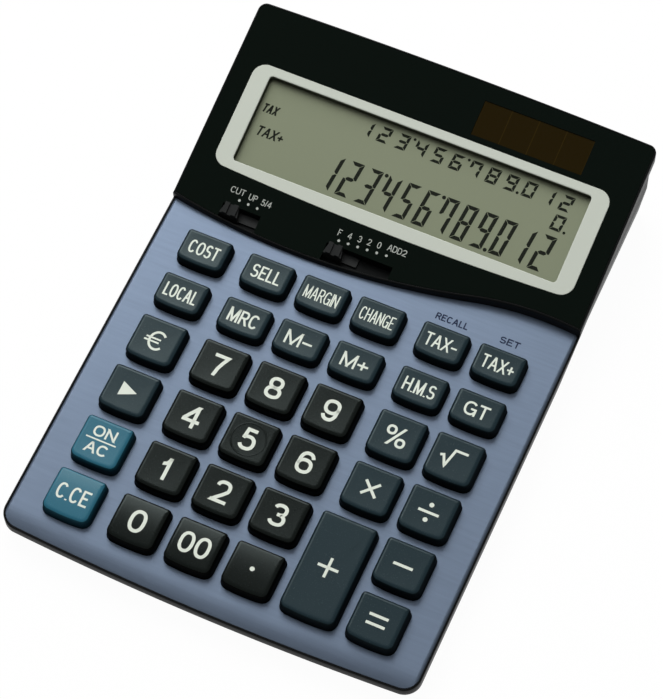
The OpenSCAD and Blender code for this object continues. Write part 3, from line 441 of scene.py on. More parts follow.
def sampled(line):
    """A centre line with extra points so that no part is longer than the stroke step."""
    line = np.asarray(line, float)
    out = [line[:1]]
    for a, b in zip(line[:-1], line[1:]):
        n = max(1, math.ceil(np.linalg.norm(b - a) / STROKE_STEP))
        out.append(a + (b - a) * np.linspace(0, 1, n + 1)[1:, None])
    return np.concatenate(out)


def stroke(line, width, box):
    """A centre line widened to a strip with mitred bends; ends that reach the box are cut along it."""
    p = np.asarray(line, float)
    keep = np.r_[True, np.linalg.norm(np.diff(p, axis=0), axis=1) > 1e-6]
    p = p[keep]
    loop = np.linalg.norm(p[0] - p[-1]) < 1e-6
    d = np.diff(p, axis=0)
    d /= np.linalg.norm(d, axis=1)[:, None]
    n = np.column_stack([-d[:, 1], d[:, 0]])
    before = np.concatenate([n[-1:] if loop else n[:1], n])
    after = np.concatenate([n, n[:1] if loop else n[-1:]])
    m = before + after
    m /= np.maximum(np.linalg.norm(m, axis=1)[:, None], 1e-6)
    m /= np.maximum((m * before).sum(1), 0.5)[:, None]
    left, right = p + m * width / 2, p - m * width / 2
    if not loop:
        x0, x1, y0, y1 = box
        for end, way in ((0, -d[0]), (-1, d[-1])):
            for side in (left, right):
                for axis, bounds in ((1, (y0, y1)), (0, (x0, x1))):
                    near = min(bounds, key=lambda b: abs(b - p[end][axis]))
                    if abs(near - p[end][axis]) <= width * 0.51 and abs(way[axis]) > (0.5 if axis else 0.8):
                        side[end] += way * (near - side[end][axis]) / way[axis]
                        break
    return left, right


def word(text, height, width=None, thick=0.7, gap=0.09):
    """Strips of a line of letters, centred, as pairs of edges. A width squeezes letters and gaps."""
    table = glyphs()
    natural = [max(table[c][0] * height, thick) for c in text]
    gaps = gap * height * (len(text) - 1)
    squeeze = width / (sum(natural) + gaps) if width else 1.0
    strips = []
    x = -(sum(natural) + gaps) * squeeze / 2
    for c, w in zip(text, natural):
        w_now = max(w * squeeze, thick)
        box = (x, x + w_now, -height / 2, height / 2)
        for line in table[c][1]:
            room = (w_now - thick, height - thick)
            q = np.asarray(line, float) * room + (x + thick / 2, thick / 2 - height / 2)
            strips.append(stroke(sampled(q), thick, box))
        x += (w + gap * height) * squeeze
    return strips


def bar(x0, y0, x1, y1, thick):
    """One straight strip between two points."""
    return stroke(sampled([(x0, y0), (x1, y1)]), thick, OPEN_BOX)


def disc(x, y, r):
    """A filled circle as a strip from edge to edge."""
    return arc(x, y, r, r, 0, 180, 12), arc(x, y, r, -r, 0, 180, 12)


def moved(strips, dx, dy, slant=0.0):
    """Strips at another place, leaning to the right by a share of their height."""
    lean = np.array(((1, 0), (slant, 1)))
    return [tuple(edge @ lean + (dx, dy) for edge in strip) for strip in strips]


def legend(name):
    """Strips of one key legend around the middle of the key."""
    if name == "ON/AC":
        upper = moved(word("ON", *LEGEND_SIZES["ON"]), -0.2, 3.3)
        lower = moved(word("AC", *LEGEND_SIZES["AC"]), -0.4, -2.7)
        return upper + lower + [bar(-5.6, 0.35, 5.0, 0.35, 0.5)]
    bend = bowl(0.5, 0, 2.7, 3.2, 42, 318, 28, 1.0)
    hook = [(-4.6, 0.1), (-3.5, 0.5), (-2.0, -3.1), (-0.4, 3.2), (3.9, 3.2)]
    slope = np.linspace((-2.9, 2.6), (2.9, 0.0), 9)
    signs = {
        "euro": [stroke(sampled(bend), 0.8, OPEN_BOX), bar(-3.6, 0.55, 1.6, 0.55, 0.6),
                 bar(-3.9, -0.65, 1.3, -0.65, 0.6)],
        "root": [stroke(sampled(hook), 0.85, OPEN_BOX)],
        "arrow": [(slope, slope * (1, -1))],
        "times": [bar(-2.5, -2.5, 2.5, 2.5, 0.95), bar(-2.5, 2.5, 2.5, -2.5, 0.95)],
        "divide": [bar(-3.5, 0, 3.5, 0, 0.9), disc(0, 2.7, 0.8), disc(0, -2.7, 0.8)],
        "plus": [bar(-3.5, 0, 3.5, 0, 0.95), bar(0, -3.5, 0, 3.5, 0.95)],
        "minus": [bar(-3.3, 0, 3.3, 0, 0.95)],
        "equals": [bar(-3.2, 1.5, 3.2, 1.5, 0.95), bar(-3.2, -1.5, 3.2, -1.5, 0.95)],
        "dot": [disc(0, 0, 0.8)],
    }
    return signs[name] if name in signs else word(name, *LEGEND_SIZES.get(name, DIGIT_SIZE))


# Shader arithmetic and finishes

class Sock:
    """A shader output that does arithmetic: each operator adds one Math node to its tree."""

    def __init__(self, tree, out):
        self.tree, self.out = tree, out

    def math(self, kind, *others):
        node = self.tree.nodes.new("ShaderNodeMath")
        node.operation = kind
        for socket, value in zip(node.inputs, (self,) + others):
            feed(self.tree, socket, value)
        return Sock(self.tree, node.outputs[0])

    def __add__(self, other):
        return self.math("ADD", other)

    def __mul__(self, other):
        return self.math("MULTIPLY", other)

    def __sub__(self, other):
        return self.math("SUBTRACT", other)

    def __rsub__(self, other):
        return (self * -1.0) + other

    def __truediv__(self, other):
        return self.math("DIVIDE", other)

    def __gt__(self, other):
        return self.math("GREATER_THAN", other)

    def __abs__(self):
        return self.math("ABSOLUTE")

    def sibling(self, name):
        """Another output of the same node."""
        return Sock(self.tree, self.out.node.outputs[name])

    __radd__ = __add__
    __rmul__ = __mul__


def feed(tree, socket, value):
    if isinstance(value, Sock):
        tree.links.new(value.out, socket)
    else:
        socket.default_value = value


class Tree:
    """A node tree; node() adds a node with its settings and the values or links of its sockets."""

    def __init__(self, owner):
        owner.use_nodes = True
        self.tree = owner.node_tree

    def node(self, kind, inputs=None, out=0, **settings):
        node = self.tree.nodes.new(kind)
        for key, value in settings.items():
            setattr(node, key, value)
        for key, value in (inputs or {}).items():
            feed(self.tree, node.inputs[key], value)
        return Sock(self.tree, node.outputs[out]) if node.outputs else None

    def backdrop(self, shine):
        """One for rays from the camera and through glass, which see the backdrop, and a share for gloss."""
        camera = self.node("ShaderNodeLightPath", out="Is Camera Ray")
        glossy = camera.sibling("Is Glossy Ray") * shine
        return (camera + glossy + camera.sibling("Is Transmission Ray")).math("MINIMUM", 1.0)


class Finish(Tree):
    """A material with one Principled shader."""

    def __init__(self, name, **inputs):
        self.material = bpy.data.materials.new(name)
        super().__init__(self.material)
        self.shader = self.tree.nodes["Principled BSDF"]
        self.set(**inputs)

    def set(self, **inputs):
        for key, value in inputs.items():
            socket = self.shader.inputs[key.replace("_", " ")]
            if not isinstance(value, Sock) and hasattr(socket.default_value, "__len__") and len(value) == 3:
                value = (*value, 1.0)
            feed(self.tree, socket, value)

    def place(self):
        """The point in the part's frame, in metres, as three outputs."""
        point = self.node("ShaderNodeTexCoord", out="Object")
        split = self.node("ShaderNodeSeparateXYZ", {"Vector": point})
        return [split.sibling(axis) for axis in "XYZ"]

    def noise(self, scale, detail=2.0, stretch=(1, 1, 1)):
        """Noise over the part, with each axis stretched by a factor."""
        scaled = [axis * float(k) for axis, k in zip(self.place(), stretch)]
        vector = self.node("ShaderNodeCombineXYZ", dict(enumerate(scaled)))
        return self.node("ShaderNodeTexNoise", {"Vector": vector, "Scale": scale, "Detail": detail})

    def mix(self, factor, a, b):
        """One colour at a factor of zero, and the other at one."""
        return self.node("ShaderNodeMix", {0: factor, 6: (*a, 1.0), 7: (*b, 1.0)}, out=2, data_type="RGBA")

    def bump(self, height, strength, distance):
        sockets = {"Height": height, "Strength": strength, "Distance": distance}
        self.set(Normal=self.node("ShaderNodeBump", sockets))


def shade(c, k):
    """A colour made darker or lighter by a factor."""
    return tuple(min(1.0, v * k) for v in c)


FINISHES = {}


def make_finishes():
    """Makes every finish once, and keeps it by name."""
    c = bpy.context.scene.calculator_colours
    made = {}

    def plain(name, **inputs):
        made[name] = Finish(name, **inputs)
        return made[name]

    plate = plain("plate_blue", Metallic=0.72, Roughness=0.36, Specular_IOR_Level=0.2)
    streak = plate.noise(1.0, 3.0, (40.0, 5200.0, 5200.0))
    dash = plate.noise(1.0, 2.0, (55.0, 850.0, 850.0))
    plate.set(Base_Color=plate.mix(streak * 0.35 + dash * 0.65, shade(c.plate, 0.84), shade(c.plate, 1.16)),
              Roughness=streak * 0.12 + 0.36)
    plate.bump(streak, 0.06, 0.00005)
    for name in ("slate", "charcoal", "teal"):
        base = getattr(c, name)
        key = plain("key_" + name, Roughness=0.25, Specular_IOR_Level=0.36, Specular_Tint=(0.84, 1.0, 0.97))
        grain = key.noise(2600.0, 2.0)
        key.set(Base_Color=key.mix(grain, shade(base, 0.94), shade(base, 1.06)),
                Roughness=grain * 0.08 + 0.22)
        key.bump(grain, 0.04, 0.00003)
        # Sides and outer fillet get the key colour at 0.3 with almost no gloss: painted shade on the faces
        # turned away from the light
        plain("side_" + name, Base_Color=shade(base, 0.3), Roughness=0.5, Specular_IOR_Level=0.04)
    plain("legend_cream", Base_Color=c.legend, Roughness=0.55)
    case = plain("case_black", Base_Color=c.case, Roughness=0.3, Specular_IOR_Level=0.015)
    grain = case.noise(3000.0, 2.0)
    case.set(Roughness=grain * 0.14 + 0.24)
    case.bump(grain, 0.12, 0.00005)
    coloured = {
        "rim_black": (c.case, 0.3, 0.12), "panel_gloss": (c.panel, 0.14, 0.04),
        # The window's throat is the display ground at 0.22: painted shade in the recess
        "bezel_pale": (c.bezel, 0.5, 0.2), "bezel_throat": (shade(c.glass, 0.22), 0.6, 0.1),
        "lcd_glass": (c.glass, 0.5, 0.2), "lcd_segment": (c.segment, 0.6, 0.1),
        "print_white": ((0.36, 0.38, 0.35), 0.6, 0.1), "print_blue": (c.printing, 0.6, 0.1),
        "knob_grey": (c.knob, 0.42, 0.06),
    }
    for name, (base, rough, shine) in coloured.items():
        plain(name, Base_Color=base, Roughness=rough, Specular_IOR_Level=shine)
    pane = plain("pane_clear", Base_Color=(0.02, 0.02, 0.02), Roughness=0.06, Specular_IOR_Level=0.3,
                 Alpha=0.05)
    pane.material.surface_render_method = "BLENDED"
    solar = plain("solar_cell", Roughness=0.16, Specular_IOR_Level=0.06)
    quarter = ((solar.place()[0] - SOLAR_START * MM) / (SOLAR_PART * MM)).math("FRACT")
    line = abs(quarter - 0.5) > 0.486
    solar.set(Base_Color=solar.mix(line, c.solar, shade(c.solar, 1.9)))
    for name, (base, rough, metal) in PLAIN.items():
        plain(name, Base_Color=base, Roughness=rough, Metallic=metal)
    FINISHES.update({k: f.material for k, f in made.items()})


def finish(name):
    return FINISHES[name]


# Case outline and heights

def wave_edge(s, x, inset=0.0):
    """Y of the wave at x: an arc that bows to the front, then an arc that bows to the back."""
    x = np.asarray(x, float)
    cx1, cy1 = -s.wave_left, s.wave_y + s.wave_left_r
    turn = s.wave_turn
    cx2 = cx1 + (s.wave_left_r + s.wave_right_r) * math.sin(turn)
    cy2 = cy1 - (s.wave_left_r + s.wave_right_r) * math.cos(turn)
    meet = cx1 + (s.wave_left_r - inset) * math.sin(turn)
    left = cy1 - np.sqrt(np.maximum((s.wave_left_r - inset) ** 2 - (x - cx1) ** 2, 0))
    right = cy2 + np.sqrt(np.maximum((s.wave_right_r + inset) ** 2 - (x - cx2) ** 2, 0))
    return np.where(x < meet, left, right)


def panel_height(s, y):
    """Height of the panel's surface over the deck at y."""
    return s.wave_step + (np.asarray(y, float) - s.wave_y) * math.tan(s.panel_tilt)


def front_distance(s, x, y):
    """Distance of a point of the deck behind the front arc of the case."""
    front_r = s.case_w ** 2 / (8 * s.front_bow)
    return front_r - np.hypot(x, front_r - np.asarray(y, float))


def packed_roll(s, behind):
    """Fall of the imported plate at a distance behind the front: an arc of a circle."""
    run = s.roll_r * math.sin(s.roll_angle)
    q = np.clip(s.rim_w + run - behind, 0, run)
    return s.roll_r - np.sqrt(s.roll_r ** 2 - q ** 2)


def soft_roll(s, behind):
    """Fall of the shown plate: the same at the lip, and growing to it as the 2.5th power over a wider run."""
    fall = s.roll_r * (1 - math.cos(s.roll_angle))
    return fall * np.clip((s.rim_w + s.roll_soft - behind) / s.roll_soft, 0, 1) ** 2.5


def deck_height(s, x, y):
    """Height of the rim at the deck: zero, and along the roll near the front edge."""
    return -soft_roll(s, front_distance(s, x, y))


def case_line(s):
    """Closed outline of the case along the deck's normal: points, outward normals and the rim's height."""
    half = s.case_w / 2
    front_r = half ** 2 / (2 * s.front_bow)
    back_r = half ** 2 / (2 * s.back_bow)
    fx = half - s.front_corner
    fy = front_r - math.sqrt(front_r ** 2 - fx ** 2) + s.front_corner
    bx = half - s.back_corner
    by = s.case_l - back_r + math.sqrt(back_r ** 2 - bx ** 2) - s.back_corner
    x = np.linspace(-fx, fx, 61)[1:-1]
    front = np.column_stack([x, front_r - np.sqrt(front_r ** 2 - x ** 2)])
    front_n = np.column_stack([x, front[:, 1] - front_r])
    x = np.linspace(bx, -bx, 61)[1:-1]
    back = np.column_stack([x, s.case_l - back_r + np.sqrt(back_r ** 2 - x ** 2)])
    back_n = np.column_stack([x, back[:, 1] - s.case_l + back_r])

    def side(sign):
        step = float(wave_edge(s, sign * half))
        low = np.concatenate([np.linspace(fy, fy + 6, 5)[1:], np.linspace(fy + 6, step, 40)[1:]])
        high = np.linspace(step, by, 30)[:-1]
        ys = np.concatenate([low, high])
        lifted_up = np.r_[np.zeros(len(low)), np.ones(len(high))]
        return np.column_stack([np.full_like(ys, sign * half), ys]), lifted_up

    right, right_up = side(1)
    left, left_up = side(-1)
    parts = [(front, front_n, 0), (*corner_arc(fx, fy, s.front_corner, -90, 14), 0),
             (right, np.tile((1.0, 0.0), (len(right), 1)), right_up),
             (*corner_arc(bx, by, s.back_corner, 0, 10), 1), (back, back_n, 1),
             (*corner_arc(-bx, by, s.back_corner, 90, 10), 1),
             (left[::-1], np.tile((-1.0, 0.0), (len(left), 1)), left_up[::-1]),
             (*corner_arc(-fx, fy, s.front_corner, 180, 14), 0)]
    p = np.concatenate([a for a, b, c in parts])
    n = np.concatenate([b for a, b, c in parts])
    up = np.concatenate([np.broadcast_to(c, (len(a),)) for a, b, c in parts])
    top = np.where(up > 0.5, panel_height(s, p[:, 1]), deck_height(s, p[:, 0], p[:, 1]))
    return p, n / np.linalg.norm(n, axis=1)[:, None], top


def rim_profile(s):
    """Inset and drop of the rim from its inner edge over the rounded top to the outer face."""
    r = s.rim_round
    inner = [(s.rim_w, 0.7), (s.rim_w, 0.12), (s.rim_w - 0.05, 0.03), (s.rim_w - 0.12, 0.0)]
    over = [(r - r * math.sin(a), r - r * math.cos(a)) for a in np.radians(np.linspace(0, 90, 7))]
    return inner + [(inset, drop) for inset, drop in over if inset < s.rim_w - 0.14]


class CALCULATOR_OT_shell(bpy.types.Operator):
    """Builds the upper shell: rim and skirt round the outline, lip along the wave and switch notches"""

    bl_idname = "calculator.shell"
    bl_label = "Upper Shell"

    def execute(self, context):
        s = sizes()
        sheet = Sheet()
        p, n, top = case_line(s)
        lift = s.skirt_h / math.cos(s.panel_tilt)
        bottom = np.maximum(-s.skirt_h, panel_height(s, p[:, 1]) - lift)
        rows = [lifted(p - n * inset, top - drop) for inset, drop in rim_profile(s)]
        sheet.rows(rows, True, 1)
        rows = rows[-1:]
        rows += [lifted(p - n * inset, bottom + rise) for inset, rise in SKIRT_EDGE]
        sheet.rows(rows, True)
        self.lip(s, sheet)
        self.notches(s, sheet)
        sheet.piece("upper_shell", deck_matrix(s), [finish("case_black"), finish("rim_black")], "case",
                    ["upper_case"], "case_black", SHARP)
        return {"FINISHED"}

    def lip(self, s, sheet):
        """The rim's profile drawn along the wave, set in along the wave's normals."""
        reach = s.case_w / 2 - LIP_END
        x = np.linspace(-reach, reach, 160)
        y = wave_edge(s, x)
        t = np.gradient(y, x)
        wn = np.column_stack([t, -np.ones_like(t)]) / np.hypot(t, 1)[:, None]
        line = np.column_stack([x, y])
        lip = [(s.rim_w, None)] + rim_profile(s)[1:] + [(0.0, None)]
        rows = []
        for inset, drop in lip:
            at = line - wn * inset
            rows.append(lifted(at, LIP_FOOT if drop is None else panel_height(s, at[:, 1]) - drop))
        sheet.rows(rows, False, 1)

    def notches(self, s, sheet):
        """The floor, back and ends of each notch, from the wave to a straight line behind it."""
        back = s.wave_y + s.notch_d * math.cos(s.panel_tilt) + NOTCH_BACK
        for first, travel in SWITCHES:
            x = np.linspace(first - NOTCH_SIDE, first + travel + NOTCH_SIDE, 24)
            near = np.column_stack([x, wave_edge(s, x, s.rim_w) - NOTCH_FRONT])
            far = np.column_stack([x, np.full_like(x, back)])
            sheet.rows([lifted(near, NOTCH_FLOOR), lifted(far, NOTCH_FLOOR),
                        lifted(far, float(panel_height(s, back)) - NOTCH_TOP)], False)
            for end in (0, -1):
                side = np.linspace(near[end], far[end], 6)
                top = panel_height(s, side[:, 1]) - NOTCH_TOP
                sheet.rows([lifted(side, NOTCH_FLOOR), lifted(side, top)], False)


class CALCULATOR_OT_plate(bpy.types.Operator):
    """Builds the face plate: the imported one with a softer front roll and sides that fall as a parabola"""

    bl_idname = "calculator.plate"
    bl_label = "Face Plate"

    def execute(self, context):
        s = sizes()
        start = s.case_w / 2 - s.rim_w - s.edge_run
        form = bmesh.new()
        form.from_mesh(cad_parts["face_plate"].data)
        bmesh.ops.remove_doubles(form, verts=form.verts[:], dist=1e-6)
        turn = deck_matrix(s)
        across = np.r_[start - EDGE_CUT, np.linspace(start, start + s.edge_run, 6)[:-1]]
        cuts = [((x, 0, 0), (1, 0, 0)) for x in np.r_[-across, np.arange(*CUTS_X), across]]
        cuts += [((0, y, 0), (0, 1, 0)) for y in np.arange(*CUTS_Y)]
        for place, way in cuts:
            bmesh.ops.bisect_plane(form, geom=form.verts[:] + form.edges[:] + form.faces[:], dist=1e-7,
                                   plane_co=(turn @ Vector(place)) * MM, plane_no=turn.to_3x3() @ Vector(way))
        mesh = bpy.data.meshes.new("plate_rolled")
        form.to_mesh(mesh)
        form.free()
        flat = np.empty(len(mesh.vertices) * 3)
        mesh.vertices.foreach_get("co", flat)
        points = flat.reshape(-1, 3)
        share = np.clip((np.abs(points[:, 0]) / MM - start) / s.edge_run, 0, 1)
        down = np.array(turn.to_3x3() @ Vector((0, 0, -1)))
        back = np.array(turn.inverted())
        behind = front_distance(s, points[:, 0] / MM, points @ back[1, :3] / MM + back[1, 3])
        fall = s.edge_drop * share ** 2 + soft_roll(s, behind) - packed_roll(s, behind)
        points += down * (fall * MM)[:, None]
        mesh.vertices.foreach_set("co", points.ravel())
        mesh.attributes.remove(mesh.attributes["custom_normal"])
        mesh.materials.clear()
        mesh.materials.append(finish("plate_blue"))
        mesh.update()
        facing = np.empty(len(mesh.polygons) * 3)
        mesh.polygons.foreach_get("normal", facing)
        mesh.polygons.foreach_set("use_smooth", facing.reshape(-1, 3) @ down > -0.99999)
        mesh.set_sharp_from_angle(angle=math.radians(35.0))
        obj = linked("plate_rolled", mesh)
        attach(obj, "case")
        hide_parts("face_plate")
        return {"FINISHED"}


class CALCULATOR_OT_keys(bpy.types.Operator):
    """Builds every key: an outline drawn in along its normals over a fillet, a dished top and a legend"""

    bl_idname = "calculator.keys"
    bl_label = "Keys"

    def execute(self, context):
        s = sizes()
        for name, (column, row, label, shade_name) in KEYS.items():
            depth = s.small_d if row < 3 else s.tall_d if row == TALL_ROW else s.key_d
            extra = s.tall_extra if row == TALL_ROW else 0.0
            place = deck_matrix(s) @ Matrix.Translation((COLUMN_X[column] - extra / 2, ROW_Y[row], 0))
            sheet = self.cap(s, (s.key_w + extra) / 2, depth / 2, label, row == FRONT_ROW and column < 4)
            # The third finish is the darker side copy of the key colour: painted shade
            finishes = [finish("key_" + shade_name), finish("legend_cream"), finish("side_" + shade_name)]
            sheet.piece(name + "_cap", place, finishes, name, [name], "key_" + shade_name, SHARP)
        return {"FINISHED"}

    def cap(self, s, half, deep, label, domed):
        """One cap round its own middle: flange, sides, fillet, top and legend."""
        p, n = outline(half, -deep, deep, s.key_front_corner, s.key_back_corner, s.key_bow)
        to_right, to_front = np.clip(n[:, 0], 0, 1), np.clip(-n[:, 1], 0, 1)
        fillet = FILLET + FILLET_RIGHT * to_right ** 2 + FILLET_FRONT * to_front ** 2
        rise, lean = s.key_rise, s.key_lean

        def top_z(x, y):
            """The dish is a parabola across times one from front to back, and a dome falls as a parabola."""
            a, b = half - lean - TOP_EDGE, deep - lean - TOP_EDGE
            fx = np.clip(1 - (x / a) ** 2, 0, 1)
            fy = np.clip(1 - (y / b) ** 2, 0, 1)
            if domed:
                return rise - s.key_dome * (1 - fy)
            return rise - s.key_dish * fy * (DISH_FULL + (1 - DISH_FULL) * fx)

        flange = p + n * FLANGE_OUT
        rows = [lifted(flange, FLANGE_LOW), lifted(flange, FLANGE_TOP), lifted(p, FLANGE_TOP), lifted(p, 0.0),
                lifted(p - n * 0.04, 0.5), lifted(p - n * (lean * 0.45), (rise - fillet) * 0.5)]
        for a in np.radians(np.linspace(0, 90, 8)):
            inset = lean + fillet * (1 - math.cos(a))
            at = p - n * inset[:, None]
            rows.append(lifted(at, top_z(at[:, 0], at[:, 1]) - fillet * (1 - math.sin(a))))
        # Rows from the flange up into the fillet take the darker side finish: painted shade
        side_rows, rows = rows[:SIDE_ROWS], rows[SIDE_ROWS - 1:]
        edge = rows[-1][:, :2]
        rows += [lifted(edge * k, top_z(*(edge * k).T)) for k in TOP_RINGS]
        sheet = Sheet()
        sheet.rows(side_rows, True, 2)
        sheet.rows(rows, True, 0, True)
        if label == "5":
            ring = arc(*LEGEND_PLACE, RING_R, RING_R, 0, 360, 72)
            sheet.rows([lifted(stroke(ring, width, OPEN_BOX)[side], top_z(*ring.T) + lift)
                        for width, side, lift in RING_EDGES], False)
        for strip in moved(legend(label), *LEGEND_PLACE):
            sheet.rows([lifted(edge, top_z(*edge.T) + LEGEND_LIFT) for edge in strip], False, 1)
        return sheet


SEGMENTS = {"0": "abcdef", "1": "bc", "2": "abged", "3": "abgcd", "4": "fgbc", "5": "afgcd", "6": "afgedc",
            "7": "fabc", "8": "abcdefg", "9": "abcdfg"}


def digit(character, width, height, thick, slit):
    """Polygons of a seven segment digit with its lower left corner at the origin."""
    w, h, t, g = width, height, thick, slit
    m = h / 2
    shapes = {
        "a": [(g, h), (w - g, h), (w - t - g, h - t), (t + g, h - t)],
        "d": [(g, 0), (t + g, t), (w - t - g, t), (w - g, 0)],
        "g": [(t / 2 + g, m), (t + g, m + t / 2), (w - t - g, m + t / 2), (w - t / 2 - g, m),
              (w - t - g, m - t / 2), (t + g, m - t / 2)],
        "b": [(w, h - g), (w, m + g), (w - t / 2, m + g), (w - t, m + t / 2 + g), (w - t, h - t - g)],
        "c": [(w, g), (w - t, t + g), (w - t, m - t / 2 - g), (w - t / 2, m - g), (w, m - g)],
    }
    shapes["f"] = [(w - x, y) for x, y in shapes["b"]]
    shapes["e"] = [(w - x, y) for x, y in shapes["c"]]
    return [np.array(shapes[k]) for k in SEGMENTS[character]]


class CALCULATOR_OT_display(bpy.types.Operator):
    """Builds the pale frame, the clear pane and the digits of the display"""

    bl_idname = "calculator.display"
    bl_label = "Display"

    def execute(self, context):
        s = sizes()
        place = panel_matrix(s)
        outer, outer_n = outline(s.bezel_w / 2, s.bezel_low, s.bezel_high,
                                 s.bezel_corner, s.bezel_corner, s.bezel_bow, 10, 16)
        inner, inner_n = outline(s.window_w / 2, s.window_low, s.window_high,
                                 s.window_corner, s.window_corner, 0.0, 10, 16)
        sheet = Sheet()
        rows = [lifted(outer - outer_n * inset, z) for inset, z in FRAME_OUTSIDE]
        rows += [lifted(inner + inner_n * outset, z) for outset, z in FRAME_INSIDE]
        sheet.rows(rows, True)
        # The throat down to the display takes the darkened finish: painted shade in the window's recess
        sheet.rows([rows[-1], lifted(inner, THROAT_LEVEL)], True, 1)
        sheet.piece("window_frame", place, [finish("bezel_pale"), finish("bezel_throat")], "case",
                    ["window_bezel"], "bezel_pale", SHARP)
        sheet = Sheet()
        x, low, high = s.window_w / 2 - PANE_GAP, s.window_low + PANE_GAP, s.window_high - PANE_GAP
        sheet.add(lifted([(-x, low), (x, low), (x, high), (-x, high)], PANE_LEVEL), [(0, 1, 2, 3)])
        sheet.piece("window_pane", place, [finish("pane_clear")], "case", ["window_lens"], "window_clear")
        self.digits(s, place)
        return {"FINISHED"}

    def digits(self, s, place):
        """The rows of digits and the small words, as flat faces just over the glass."""
        sheet = Sheet()
        z = s.glass_n + PRINT_LIFT

        def polygon(points):
            sheet.add(lifted(points, z), [range(len(points))])

        def row(text, right, low, pitch, width, height, thick, slit):
            """Digits up to the last one's upper right corner, with points and ticks between them."""
            left = right - DIGIT_LEAN * height - width - pitch * sum(c.isdigit() for c in text)
            for c in text:
                if c.isdigit():
                    left += pitch
                    for q in digit(c, width, height, thick, slit):
                        polygon(q @ ((1, 0), (DIGIT_LEAN, 1)) + (left, low))
                else:
                    size = thick * POINT_R
                    y = height - size if c == "'" else size * POINT_RISE
                    middle = left + width + (pitch - width) * POINT_X + DIGIT_LEAN * y
                    polygon(arc(middle, low + y, size, size, 0, 330, 11))

        for line in DISPLAY_ROWS:
            row(*line)
        for text, x, y, height, width in DISPLAY_WORDS:
            for strip in moved(word(text, height, width, DISPLAY_STROKE), x, y, WORD_LEAN):
                sheet.rows([lifted(edge, z) for edge in strip], False)
        sheet.piece("lcd_digits", place, [finish("lcd_segment")], "case", (), "lcd")


class CALCULATOR_OT_printing(bpy.types.Operator):
    """Prints the switch legends and dots on the panel and two words on the plate"""

    bl_idname = "calculator.printing"
    bl_label = "Printing"

    def execute(self, context):
        s = sizes()
        sheet = Sheet()

        def along(x):
            """A share of the wave's distance behind its lowest point, so that printing follows it."""
            return FOLLOW * (float(wave_edge(s, x)) - s.wave_y)

        marks = np.concatenate([first + MARK_PITCH * np.arange(count) for first, count in SWITCH_MARKS])
        strips = [disc(x, MARK_Y + along(x), MARK_R) for x in marks]
        for text, x, width in SWITCH_WORDS:
            strips += moved(word(text, SWITCH_H, width, SWITCH_STROKE), x, WORD_Y + along(x))
        for strip in strips:
            sheet.rows([lifted(edge, PRINT_LIFT) for edge in strip], False)
        sheet.piece("panel_print", panel_matrix(s), [finish("print_white")], "case", (), "panel_gloss")
        sheet = Sheet()
        for text, x, y, width in PLATE_WORDS:
            for strip in moved(word(text, PLATE_H, width, PLATE_STROKE), x, y):
                sheet.rows([lifted(edge, PRINT_LIFT) for edge in strip], False)
        sheet.piece("plate_print", deck_matrix(s), [finish("print_blue")], "case", (), "plate_blue")
        return {"FINISHED"}


class CALCULATOR_OT_finishes(bpy.types.Operator):
    """Makes the finishes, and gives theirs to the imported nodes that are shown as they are"""

    bl_idname = "calculator.finishes"
    bl_label = "Finishes"

    TABLE = {
        "display_panel": "panel_gloss", "lcd_glass": "lcd_glass", "solar_cell": "solar_cell",
        "lower_case": "case_black", "battery_door": "case_black", "rubber_feet": "foot_rubber",
        "case_screws": "screw_steel", "board_screws": "screw_steel", "button_cell": "cell_steel",
        "battery_contacts": "contact_metal", "rounding_wiper": "contact_metal",
        "decimal_wiper": "contact_metal", "main_board": "board_green", "display_board": "board_green",
        "controller_chip": "chip_black", "rubber_dome_mat": "mat_rubber", "lcd_holder": "holder_white",
        "zebra_strip": "zebra_rubber", "ribbon_cable": "cable_film", "rounding_slider": "knob_grey",
        "decimal_slider": "knob_grey",
    }

    def execute(self, context):
        make_finishes()
        for node, name in self.TABLE.items():
            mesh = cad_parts[node].data
            mesh.materials.clear()
            mesh.materials.append(finish(name))
        return {"FINISHED"}


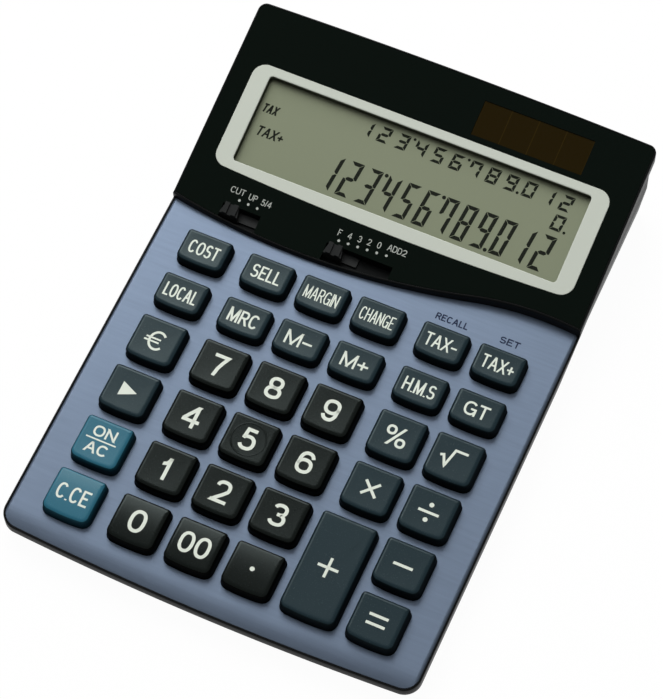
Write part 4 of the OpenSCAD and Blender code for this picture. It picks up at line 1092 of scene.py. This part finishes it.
class CALCULATOR_OT_stage(bpy.types.Operator):
    """Sets the white floor, the soft lights and the camera at the photo's angle"""

    bl_idname = "calculator.stage"
    bl_label = "Stage"

    def execute(self, context):
        scene = context.scene
        scene.view_settings.view_transform = "Standard"
        self.floor()
        self.world(scene)
        for light in LIGHTS:
            self.light(*light)
        self.camera(scene)
        return {"FINISHED"}

    def floor(self):
        mesh = bpy.data.meshes.new("floor")
        square = np.array([(-1, -1, 0), (1, -1, 0), (1, 1, 0), (-1, 1, 0)]) * FLOOR_HALF
        mesh.from_pydata(square, [], [(0, 1, 2, 3)])
        material = bpy.data.materials.new("floor_white")
        tree = Tree(material)
        tree.tree.nodes.clear()
        paint = tree.node("ShaderNodeBsdfDiffuse", {"Color": (0.8, 0.8, 0.8, 1.0)})
        glow = tree.node("ShaderNodeEmission", {"Color": (1.0, 1.0, 1.0, 1.0), "Strength": 1.0})
        mixed = tree.node("ShaderNodeMixShader", {0: tree.backdrop(1.0) * 0.97, 1: paint, 2: glow})
        under = tree.node("ShaderNodeNewGeometry", out="Backfacing")
        clear = tree.node("ShaderNodeBsdfTransparent")
        one_sided = tree.node("ShaderNodeMixShader", {0: under, 1: mixed, 2: clear})
        tree.node("ShaderNodeOutputMaterial", {"Surface": one_sided})
        mesh.materials.append(material)
        linked("floor", mesh)

    def world(self, scene):
        world = bpy.data.worlds.new("studio")
        tree = Tree(world)
        tree.tree.nodes.clear()
        soft = tree.node("ShaderNodeBackground", {"Color": (1.0, 1.0, 1.0, 1.0), "Strength": 0.12})
        white = tree.node("ShaderNodeBackground", {"Color": (1.0, 1.0, 1.0, 1.0), "Strength": 1.0})
        mixed = tree.node("ShaderNodeMixShader", {0: tree.backdrop(0.05), 1: soft, 2: white})
        tree.node("ShaderNodeOutputWorld", {"Surface": mixed})
        scene.world = world

    def light(self, name, place, target, size, power, shown):
        data = bpy.data.lights.new(name, "AREA")
        data.shape = "SQUARE"
        data.size = size
        data.energy = power
        obj = linked(name, data)
        obj.location = place
        obj.rotation_euler = (Vector(target) - Vector(place)).to_track_quat("-Z", "Y").to_euler()
        obj.visible_glossy = shown

    def camera(self, scene):
        """The camera's axes are given in the deck's frame and turned to the table."""
        turn = deck_matrix(sizes())
        axes = turn.to_3x3() @ Matrix(CAMERA_AXES)
        data = bpy.data.cameras.new("camera")
        data.sensor_width = SENSOR_W
        data.lens = CAMERA_LENS
        data.shift_x, data.shift_y = -0.5 / PICTURE_H, 0.5 / PICTURE_H
        data.clip_end = 20.0
        obj = linked("camera", data)
        place = (turn @ Vector(CAMERA_PLACE)) * MM
        obj.matrix_world = Matrix.Translation(place) @ axes.normalized().to_4x4()
        scene.camera = obj


class CALCULATOR_PT_panel(bpy.types.Panel):
    """Buttons for each group of pieces"""

    bl_idname = "CALCULATOR_PT_panel"
    bl_label = "Calculator"
    bl_space_type = "VIEW_3D"
    bl_region_type = "UI"
    bl_category = "Calculator"

    def draw(self, context):
        for name in ("finishes", "shell", "plate", "keys", "display", "printing", "stage"):
            self.layout.operator("calculator." + name)


CLASSES = (CalculatorSizes, CalculatorColours, CALCULATOR_OT_finishes, CALCULATOR_OT_shell,
           CALCULATOR_OT_plate, CALCULATOR_OT_keys, CALCULATOR_OT_display, CALCULATOR_OT_printing,
           CALCULATOR_OT_stage, CALCULATOR_PT_panel)


def register():
    for cls in CLASSES:
        bpy.utils.register_class(cls)
    bpy.types.Scene.calculator_sizes = PointerProperty(type=CalculatorSizes)
    bpy.types.Scene.calculator_colours = PointerProperty(type=CalculatorColours)


def unregister():
    del bpy.types.Scene.calculator_colours
    del bpy.types.Scene.calculator_sizes
    for cls in reversed(CLASSES):
        bpy.utils.unregister_class(cls)


def main():
    register()
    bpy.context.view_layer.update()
    bpy.ops.calculator.finishes()
    bpy.ops.calculator.shell()
    bpy.ops.calculator.plate()
    bpy.ops.calculator.keys()
    bpy.ops.calculator.display()
    bpy.ops.calculator.printing()
    bpy.ops.calculator.stage()
    bpy.context.view_layer.update()


if __name__ == "__main__":
    main()
